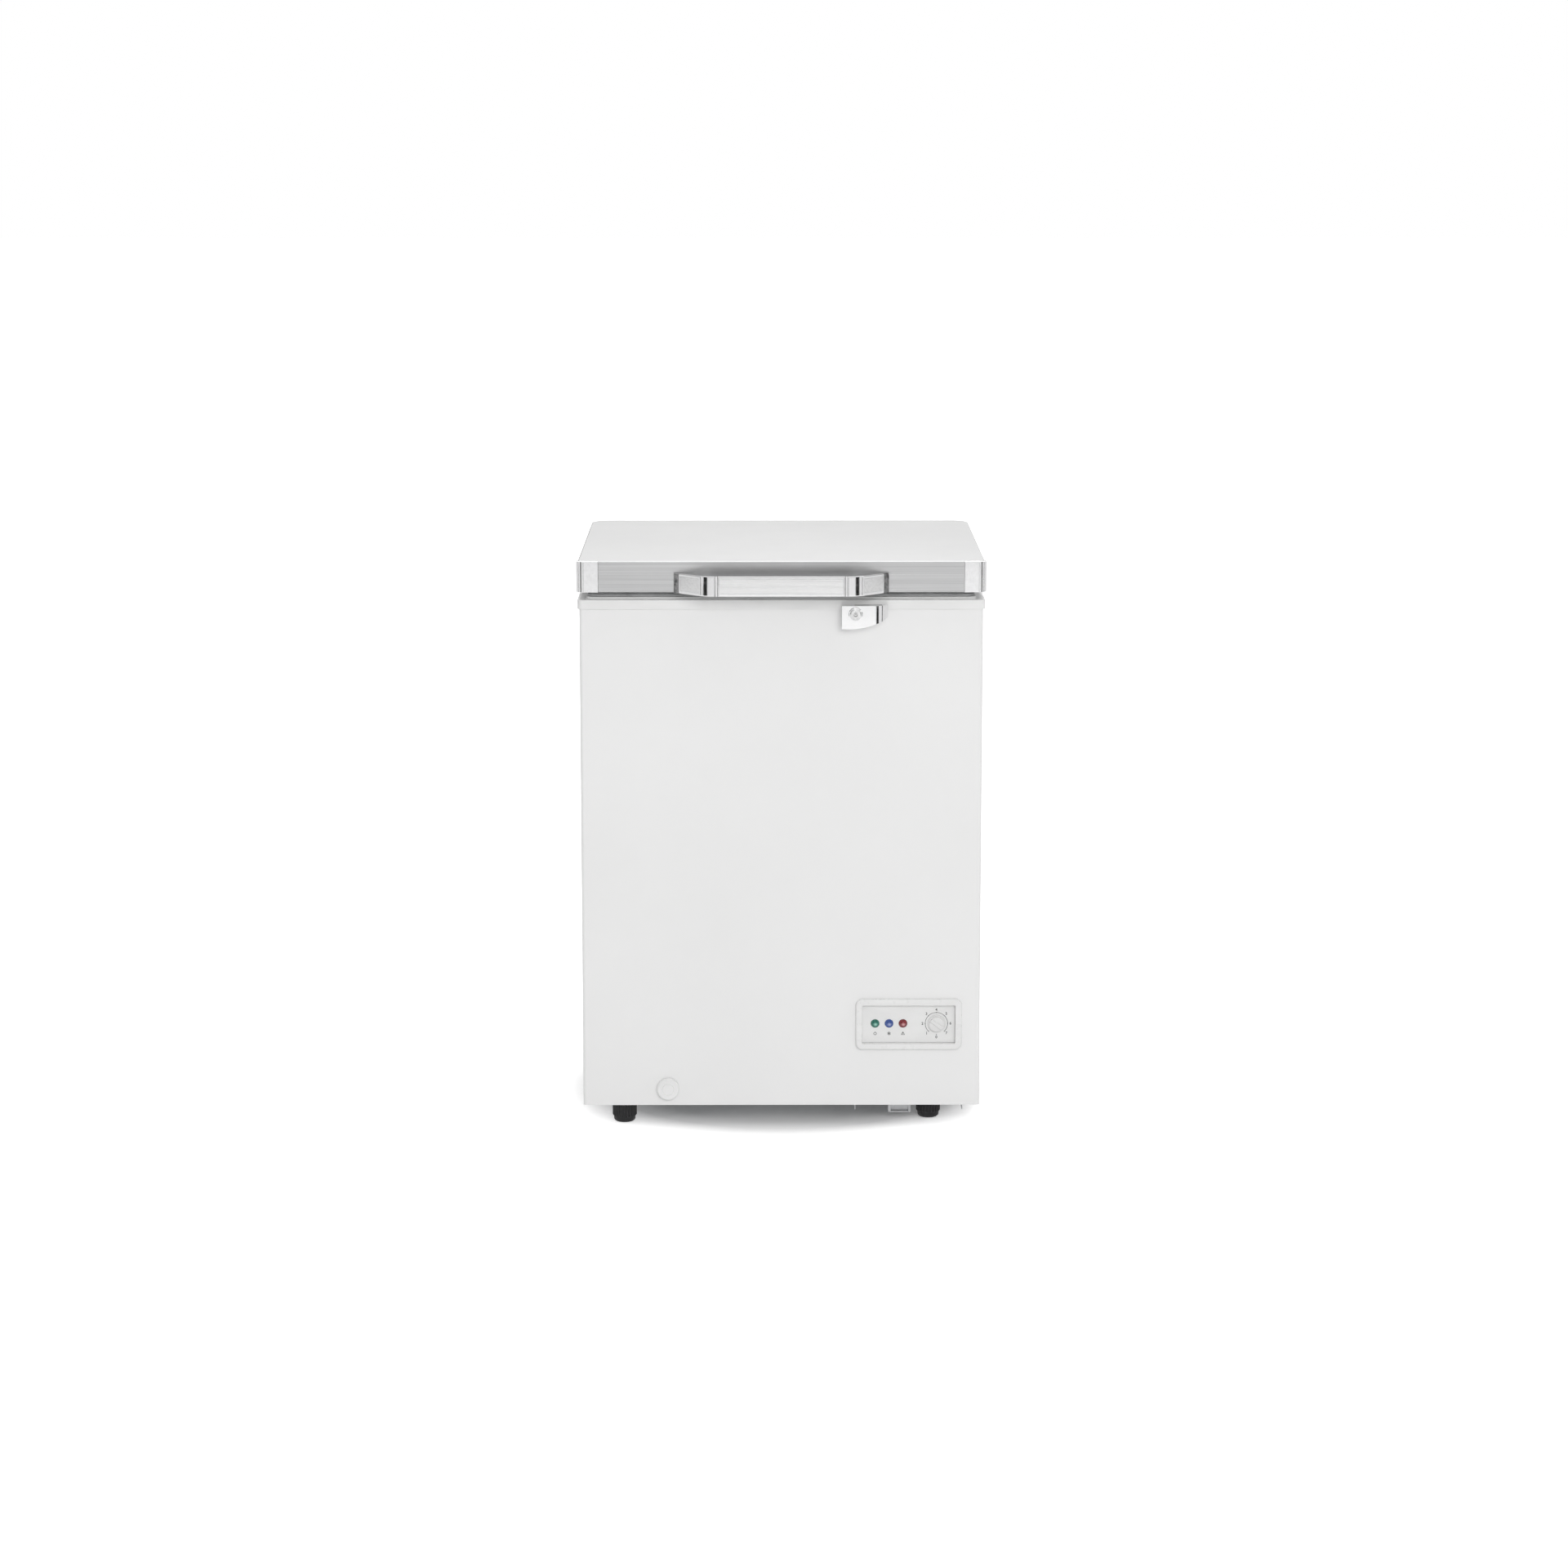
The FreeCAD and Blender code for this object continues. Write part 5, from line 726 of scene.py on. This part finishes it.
# %% Wrapper, back, floor and tray
dress("wrapper", "cabinet_wrapper", cabinet_paint, 0.3 * MM)
dress("back_panel", "cabinet_back", cabinet_paint, 0.3 * MM)
dress("base_panel", "cabinet_floor", galvanised, 0.2 * MM)
dress("compressor_tray", "compressor_tray_sheet", galvanised, 0.2 * MM)
dress("compartment_cover", "rear_cover", galvanised, 0.3 * MM)
dress("tub_liner", "tub_liner_sheet", stucco, 0.0, 40)
dress("cord_gland", "mains_gland", black_plastic, 0.2 * MM)

# %% [markdown]
# The right wall has two columns of vent slots for the compressor. Each slot was sheared and its upper edge
# pushed out into a shallow hood. A node tree makes one hood from a squashed half cylinder and repeats it on
# a grid of points, which keeps every hood the same and lets one number change their pitch.

# %% Hoods over the side vents
VENT_Z, VENT_SLOT, VENT_PITCH = 0.088, 0.005, 0.014
VENT_SPREAD, VENT_FROM_BACK = 0.078, 0.120   # between the two columns, and from the back to their middle
HOOD_RADIUS = 0.0024


def vent_hoods():
    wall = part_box("wrapper")
    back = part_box("back_panel")[1].y
    graph = Graph("vent_hoods")
    rows = graph.input("Rows", 9, "NodeSocketInt")
    columns = graph.input("Columns", 2, "NodeSocketInt")
    pitch = graph.input("Pitch", VENT_PITCH)
    length = graph.input("Length", 0.060)
    depth = graph.input("Proud", 0.0016)
    height = graph.math("MULTIPLY", pitch, graph.math("SUBTRACT", rows, 1))
    grid = graph.add("GeometryNodeMeshGrid", {"Size X": VENT_SPREAD, "Size Y": height,
                                              "Vertices X": columns, "Vertices Y": rows})
    upright = graph.shift(grid.outputs[0], (0, 0, 0), (math.pi / 2, 0, math.pi / 2))
    tube = graph.add("GeometryNodeMeshCylinder", {"Vertices": 24, "Side Segments": 1, "Radius": HOOD_RADIUS,
                                                  "Depth": length})
    lying = graph.shift(tube.outputs[0], (0, 0, 0), (math.pi / 2, 0, 0))
    squash = graph.vector(graph.math("DIVIDE", depth, HOOD_RADIUS), 1.0, 1.0)
    flat = graph.add("GeometryNodeTransform", {0: lying, "Scale": squash})
    hoods = graph.place(upright, flat.outputs[0])
    low_row = VENT_Z + VENT_SLOT + 0.0022
    middle = (wall[1].x - 0.0001, back - VENT_FROM_BACK, low_row + VENT_PITCH * 4)
    placed = graph.shift(hoods, middle)
    return grow(graph, "side_vent_hoods", placed, cabinet_paint)


fit_to_frame(vent_hoods(), "cabinet", "cabinet_paint")

# %% [markdown]
# ## The frame between cabinet and lid
# A white moulded frame joins the outer sheet to the tub and gives the lid's seal a flat land. Moulded edges
# are never sharp, so it gets a softer bevel than the sheet.

# %% Moulded frame and its neighbours
dress("top_frame", "opening_frame", white_plastic, 0.35 * MM)
dress("drain_cap", "drain_cap_cover", white_plastic, 0.3 * MM)
dress("drain_stopper", "drain_plug", stopper_rubber, 0.3 * MM)
dress("drain_tube", "drain_pipe", grey_plastic)

# %% [markdown]
# ## The lid
# The lid is a shallow painted pan with rounded edges over foam, closed below by a moulded liner. At the
# front a brushed channel spans it between two plated corner caps. The seal is a soft grey extrusion with
# bellows.

# %% Lid, liner, seal, trim and caps
dress("lid_skin", "lid_pan", lid_paint, 0.0, 40)
dress("lid_liner", "lid_inner_liner", inner_plastic, 0.3 * MM)
dress("lid_gasket", "lid_seal", gasket_rubber, 0.2 * MM)
dress("lid_front_trim", "front_trim_channel", trim_metal, 0.25 * MM)
for side in ("left", "right"):
    dress("corner_cap_" + side, "corner_cap_shell_" + side, cap_chrome, 0.35 * MM)

# %% [markdown]
# ## Handle and lock
# The handle is one plated casting: end plates, sloping arms with brushed inlays, rounded shoulders, a
# groove and a straight bar. The lock's housing is plated too, and round its key barrel sits a turned steel
# collar. Plated pieces show their shape through their reflections, so their bevels are wider than
# elsewhere.

# %% Handle, inlays and lock
dress("lid_handle", "handle_casting", chrome, 0.5 * MM, 24)
dress("handle_inlays", "handle_inlay_plates", inlay_metal, 0.15 * MM)
dress("lock_housing", "lock_case", chrome, 0.35 * MM, 24)
dress("lock_barrel", "key_barrel", barrel_steel, 0.2 * MM)
dress("lock_hook", "lock_hook_plate", zinc, 0.2 * MM)

# %% [markdown]
# ## Hinges
# Each hinge has a channel on the back, a leaf on the lid and a sprung plunger that holds the lid where it
# is left.

# %% Hinge plates, pins and plungers
for side in ("left", "right"):
    dress("hinge_base_" + side, "hinge_channel_" + side, hinge_paint, 0.3 * MM)
    dress("hinge_leaf_" + side, "hinge_leaf_plate_" + side, hinge_paint, 0.3 * MM)
    dress("hinge_plunger_" + side, "hinge_plunger_rod_" + side, zinc, 0.2 * MM)
dress("hinge_pins", "hinge_pin_pair", zinc, 0.2 * MM)


# %% Springs from a spiral
def hinge_coil(side):
    low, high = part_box("hinge_spring_" + side)
    wire_radius = 0.00075
    radius = (high.x - low.x) / 2 - wire_radius
    graph = Graph("coil_" + side)
    turns = graph.input("Turns", 14.0)
    wire = graph.input("Wire radius", wire_radius)
    rise = high.z - low.z - 2 * wire_radius
    spiral = graph.add("GeometryNodeCurveSpiral", {"Resolution": 22, "Rotations": turns, "Height": rise,
                                                   "Start Radius": radius, "End Radius": radius}).outputs[0]
    coil = graph.wire(spiral, wire, 8)
    base = ((low.x + high.x) / 2, (low.y + high.y) / 2, low.z + wire_radius)
    return grow(graph, "hinge_coil_" + side, graph.shift(coil, base), spring_steel), low, high


for side in ("left", "right"):
    coil, low, high = hinge_coil(side)
    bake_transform(coil)
    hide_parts("hinge_spring_" + side)

# %% [markdown]
# ## The control panel
# A white bezel frames a recessed fascia with three lamp lenses and a thermostat knob. The knob's skirt is
# ribbed for grip. The scale round it and the signs under the lenses are printed, so they are flat shapes
# just off the surface.

# %% Bezel, fascia, lenses and knob
dress("control_bezel", "panel_bezel", bezel_plastic, 0.4 * MM)
dress("control_fascia", "panel_fascia", fascia_plastic)
for colour, glass in (("green", green_lens), ("blue", blue_lens), ("red", red_lens)):
    dress("lens_" + colour, "lamp_lens_" + colour, glass, 0.25 * MM, 20)
dress("thermostat_knob", "dial_knob", knob_plastic, 0.3 * MM)

FASCIA_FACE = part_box("control_fascia")[0].y
PRINT_FACE = FASCIA_FACE - 0.00006
knob_low, knob_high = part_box("thermostat_knob")
DIAL_AT = Vector(((knob_low.x + knob_high.x) / 2, PRINT_FACE, (knob_low.z + knob_high.z) / 2))
print("dial centre in mm:", [round(v / MM, 1) for v in DIAL_AT], "print plane", round(PRINT_FACE / MM, 2))


# %% Printed scale round the dial
RING_RADIUS, NUMERAL_RADIUS, NUMERAL_SIZE = 0.0159, 0.0199, 0.0054
FIRST_NUMERAL, NUMERAL_STEP = 226, 45.17     # degrees anticlockwise from the right


def dial_scale():
    """A thin arc with dots at the numbers, built flat and turned to face the front."""
    graph = Graph("dial_scale")
    radius = graph.input("Ring radius", RING_RADIUS)
    width = graph.input("Line width", 0.00062)
    steps = graph.input("Numbers", 7, "NodeSocketInt")
    dot = graph.input("Dot radius", 0.00062)
    start, sweep = math.radians(-45), math.radians(271)
    arc = graph.add("GeometryNodeCurveArc", {"Resolution": 96, "Radius": radius, "Start Angle": start,
                                             "Sweep Angle": sweep})
    arc.mode = "RADIUS"
    left, right = (graph.vector(graph.math("MULTIPLY", width, half), 0.0, 0.0) for half in (-0.5, 0.5))
    strip = graph.add("GeometryNodeCurvePrimitiveLine", {"Start": left, "End": right})
    line = graph.add("GeometryNodeCurveToMesh", {"Curve": arc.outputs[0],
                                                      "Profile Curve": strip.outputs[0]}).outputs[0]
    points = graph.add("GeometryNodeResampleCurve", {"Curve": arc.outputs[0], "Count": steps}).outputs[0]
    disc = graph.add("GeometryNodeMeshCircle", {"Vertices": 20, "Radius": dot}, fill_type="NGON").outputs[0]
    dots = graph.place(points, disc)
    zero = graph.shift(disc, (0, -RING_RADIUS, 0))
    printed = graph.join(line, dots, zero)
    return grow(graph, "dial_print", graph.shift(printed, DIAL_AT, (math.pi / 2, 0, 0)), ink)


fit_to_frame(dial_scale(), "cabinet", "fascia_plastic")


# %% Numerals and signs
def flat_mesh(name, loops, at):
    """Polygons in the front's plane: each loop is a list of (x, z) offsets in metres from at."""
    points, faces = [], []
    for loop in loops:
        faces.append(tuple(range(len(points), len(points) + len(loop))))
        points += [Vector((at[0] + x, PRINT_FACE, at[1] + z)) for x, z in loop]
    mesh = bpy.data.meshes.new(name)
    mesh.from_pydata([tuple(p) for p in points], [], faces)
    return mesh


def stroke(x0, z0, x1, z1, width):
    run = Vector((x1 - x0, z1 - z0)).normalized() * width / 2
    side = Vector((-run.y, run.x))
    corners = ((x0, z0, -1), (x1, z1, -1), (x1, z1, 1), (x0, z0, 1))
    return [(x + way * side.x, z + way * side.y) for x, z, way in corners]


def arc_band(radius, width, first, last, steps=28):
    angles = [math.radians(first + (last - first) * k / steps) for k in range(steps + 1)]
    outer = [((radius + width / 2) * math.cos(a), (radius + width / 2) * math.sin(a)) for a in angles]
    inner = [((radius - width / 2) * math.cos(a), (radius - width / 2) * math.sin(a)) for a in angles]
    return [[outer[k], outer[k + 1], inner[k + 1], inner[k]] for k in range(steps)]


def numerals():
    """The numbers round the dial, converted from text to flat meshes and joined."""
    joined_shape = bmesh.new()
    places = [(str(k + 1), FIRST_NUMERAL - NUMERAL_STEP * k) for k in range(7)] + [("0", 270)]
    for sign, degrees in places:
        text = bpy.data.curves.new("numeral", "FONT")
        text.body = sign
        text.size = NUMERAL_SIZE
        text.offset = 0.00009
        text.align_x = text.align_y = "CENTER"
        holder = in_scene("numeral", text)
        bpy.context.view_layer.update()
        shape = bpy.data.meshes.new_from_object(holder)
        a = math.radians(degrees)
        where = DIAL_AT + Vector((math.cos(a), 0, math.sin(a))) * NUMERAL_RADIUS
        shape.transform(Matrix.Translation(where) @ Matrix.Rotation(math.pi / 2, 4, "X"))
        joined_shape.from_mesh(shape)
        bpy.data.objects.remove(holder)
    mesh = bpy.data.meshes.new("dial_numerals")
    joined_shape.to_mesh(mesh)
    joined_shape.free()
    return mesh


fit_to_frame(new_object("dial_numerals", numerals(), ink), "cabinet", "fascia_plastic")
line = 0.0006
power = arc_band(0.0019, line, 125, 415) + [stroke(0, 0.0006, 0, 0.0026, line)]
snow = [stroke(0.0024 * math.cos(a), 0.0024 * math.sin(a), -0.0024 * math.cos(a), -0.0024 * math.sin(a), line)
        for a in (math.radians(90), math.radians(30), math.radians(150))]
snow += [stroke(0.0016 * math.cos(a), 0.0016 * math.sin(a),
                0.0016 * math.cos(a) + 0.0009 * math.cos(a + turn),
                0.0016 * math.sin(a) + 0.0009 * math.sin(a + turn), line * 0.8)
         for a in (math.radians(30 + 60 * k) for k in range(6)) for turn in (0.9, -0.9)]
warn = [stroke(-0.0024, -0.0017, 0, 0.0024, line), stroke(0, 0.0024, 0.0024, -0.0017, line),
        stroke(0.0026, -0.0017, -0.0026, -0.0017, line), stroke(0, 0.0011, 0, -0.0002, line * 1.1),
        stroke(0, -0.0007, 0, -0.0011, line * 1.1)]
for colour, loops in (("green", power), ("blue", snow), ("red", warn)):
    lens_low, lens_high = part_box("lens_" + colour)
    at = ((lens_low.x + lens_high.x) / 2, (lens_low.z + lens_high.z) / 2 - 0.0145)
    sign = new_object("sign_" + colour, flat_mesh("sign_" + colour, loops, at), ink)
    fit_to_frame(sign, "cabinet", "fascia_plastic")

# %% [markdown]
# ## Feet
# Each foot is a black hand wheel on a threaded stud. The wheel's body is a turned profile with a rounded
# sole. Its grip ribs are identical and evenly spaced, so a node tree stands one rounded rod on each point
# of a circle.

# %% Studs, nuts and ribbed wheels
FOOT_RIBS = 24


def foot_wheel(corner):
    low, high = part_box("foot_knob_" + corner)
    centre = Vector(((low.x + high.x) / 2, (low.y + high.y) / 2, low.z))
    radius, tall = (high.x - low.x) / 2, high.z - low.z
    outline = [(0, 0), (radius - 0.0052, 0), (radius - 0.0024, 0.0026), (radius - 0.0013, tall * 0.45),
               (radius - 0.0012, tall * 0.83), (radius, tall * 0.85), (radius, tall - 0.0003), (0.0045, tall),
               (0.0045, 0.0095), (0, 0.0095)]
    wheel = spun("foot_wheel_" + corner, softened_profile(outline, 0.0009), centre, Z_AXIS, black_plastic, 72)
    fit_to_frame(wheel, "foot_" + corner, "black_plastic", "foot_knob_" + corner)
    graph = Graph("foot_ribs_" + corner)
    count = graph.input("Ribs", FOOT_RIBS, "NodeSocketInt")
    rib_radius = graph.input("Rib radius", 0.0015)
    reach = graph.input("Reach", radius - 0.0017)
    circle = graph.add("GeometryNodeMeshCircle", {"Vertices": count, "Radius": reach}).outputs[0]
    rod = graph.add("GeometryNodeMeshCylinder", {"Vertices": 12, "Radius": rib_radius,
                                                 "Depth": tall * 0.52}).outputs["Mesh"]
    ball = graph.add("GeometryNodeMeshUVSphere", {"Segments": 12, "Rings": 6,
                                                   "Radius": rib_radius}).outputs["Mesh"]
    foot_end = graph.shift(ball, (0, 0, -tall * 0.26))
    ribs = graph.place(circle, graph.join(rod, foot_end))
    placed = graph.shift(ribs, centre + Vector((0, 0, tall * 0.57)))
    fit_to_frame(grow(graph, "foot_ribs_" + corner, placed, black_plastic), "foot_" + corner, "black_plastic")


for corner in ("front_left", "front_right", "back_left", "back_right"):
    foot_wheel(corner)
    dress("foot_stud_" + corner, "foot_thread_" + corner, zinc)
dress("foot_nuts", "foot_weld_nuts", zinc, 0.2 * MM)

# %% [markdown]
# ## The wire basket
# Plastic-coated wires bent into U shapes stand in two crossing rows between two frame hoops, and four hooks
# hang them on the moulded shelf. Drawn by hand that is twenty curves. A node tree needs one U, made from
# four points with filleted corners, and one line of points to repeat it on; the wire's section is swept
# last.


# %% Basket wires
def basket_wires():
    low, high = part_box("basket")
    hoop, wire, hook = 0.0026, 0.0020, 0.0022
    overhang, lap, hook_inset = 0.0165, 0.006, 0.040
    x0, x1, y0, y1 = low.x + hoop, high.x - hoop, low.y + overhang, high.y - overhang
    z_hook = high.z - hook
    z1, z0 = z_hook - 0.0105, low.z + wire
    wide, deep, tall, corner = x1 - x0, y1 - y0, z1 - z0, 0.014
    graph = Graph("basket")
    width, depth = graph.input("Width", wide), graph.input("Depth", deep)
    height = graph.input("Height", tall)
    across = graph.input("Wires across", 11, "NodeSocketInt")
    along = graph.input("Wires along", 5, "NodeSocketInt")
    wire_radius, hoop_radius = graph.input("Wire radius", wire), graph.input("Hoop radius", hoop)

    def bent(span, drop, bottom):
        """A U across span: points 0 and 3 at the top, 1 and 2 at the bottom."""
        index = graph.add("GeometryNodeInputIndex").outputs[0]
        right = graph.math("GREATER_THAN", index, 1.5)
        inner = graph.math("LESS_THAN", graph.math("ABSOLUTE", graph.math("SUBTRACT", index, 1.5)), 1.0)
        x = graph.math("MULTIPLY", graph.math("SUBTRACT", right, 0.5), span)
        z = graph.math("ADD", graph.math("MULTIPLY", inner, graph.math("MULTIPLY", drop, -1.0)), bottom)
        return graph.rounded(graph.bent_line(4, x, 0.0, z), 7, 0.008, limit=True)

    def row(curve, count, reach, turn):
        start, end = (graph.vector(0.0, graph.math("MULTIPLY", reach, half), 0.0) for half in (-0.5, 0.5))
        spread = graph.add("GeometryNodeMeshLine", {"Count": count, "Start Location": start, "Offset": end},
                           mode="END_POINTS").outputs[0]
        copies = graph.place(spread, curve)
        flat = graph.add("GeometryNodeRealizeInstances", {0: copies}).outputs[0]
        return graph.shift(graph.wire(flat, wire_radius, 10), (0, 0, 0), (0, 0, turn))

    rows_across = row(bent(width, height, 0.0), across, graph.math("SUBTRACT", depth, 2 * corner), 0.0)
    rows_along = row(bent(depth, graph.math("SUBTRACT", height, 0.0015), 0.0), along,
                     graph.math("SUBTRACT", width, 2 * corner), math.pi / 2)
    hoops = []
    for level in (0.0, 0.5):
        frame_curve = graph.add("GeometryNodeCurvePrimitiveQuadrilateral", {"Width": width,
                                                                            "Height": depth}).outputs[0]
        ring = graph.wire(graph.rounded(frame_curve, 9, corner),
                          hoop_radius if level == 0.0 else wire_radius, 12)
        hoops.append(graph.shift(ring, graph.vector(0.0, 0.0, graph.math("MULTIPLY", height, -level))))
    centre = Vector(((x0 + x1) / 2, (y0 + y1) / 2, z1))
    body = graph.shift(graph.join(rows_across, rows_along, *hoops), centre)
    hooks = []
    for x in (x0 + hook_inset, x1 - hook_inset):
        for y, out in ((y0, -1), (y1, 1)):
            index = graph.add("GeometryNodeInputIndex").outputs[0]
            risen, turned = (graph.math("GREATER_THAN", index, point) for point in (0.5, 1.5))
            z_at = graph.math("ADD", graph.math("MULTIPLY", risen, z_hook - z1 + lap), z1 - lap)
            y_at = graph.math("ADD", graph.math("MULTIPLY", turned, out * overhang), y)
            hooks.append(graph.wire(graph.rounded(graph.bent_line(3, x, y_at, z_at), 6, 0.006), hook, 10))
    return grow(graph, "wire_basket", graph.join(body, *hooks), wire_coat, 50)


fit_to_frame(basket_wires(), "basket", "basket_wire", "basket")

# %% [markdown]
# ## Inside the cabinet
# The machinery shows only through vents and openings, yet it is real: a compressor on rubber mounts, a
# relay cover, pipes, a dryer, coils of tube against the walls and foam between. Hidden pieces keep the
# frame's own meshes and only get their finish; those that can be glimpsed through the rear louvres are
# dressed.

# %% Machinery, foam and fasteners
dress("compressor", "compressor_shell", black_enamel, 0.0, 35)
dress("relay_cover", "relay_box", black_plastic, 0.3 * MM)
dress("mount_grommets", "rubber_mounts", black_rubber)
dress("pipework", "copper_lines", copper)
dress("filter_dryer", "filter_dryer_body", copper)
dress("cabinet_fasteners", "cabinet_screws", zinc, 0.1 * MM)
dress("lid_fasteners", "lid_screws", zinc, 0.1 * MM)
hidden = {"cabinet_foam": foam, "lid_foam": foam, "evaporator_coil": dull_aluminium,
          "condenser_coil": tube_lacquer,
          "lamp_board": board_green, "thermostat_body": zinc}
for node, material in hidden.items():
    nodes[node].data.materials.clear()
    nodes[node].data.materials.append(material)

# %% [markdown]
# ## The last update

# %% Update the scene
bpy.context.view_layer.update()
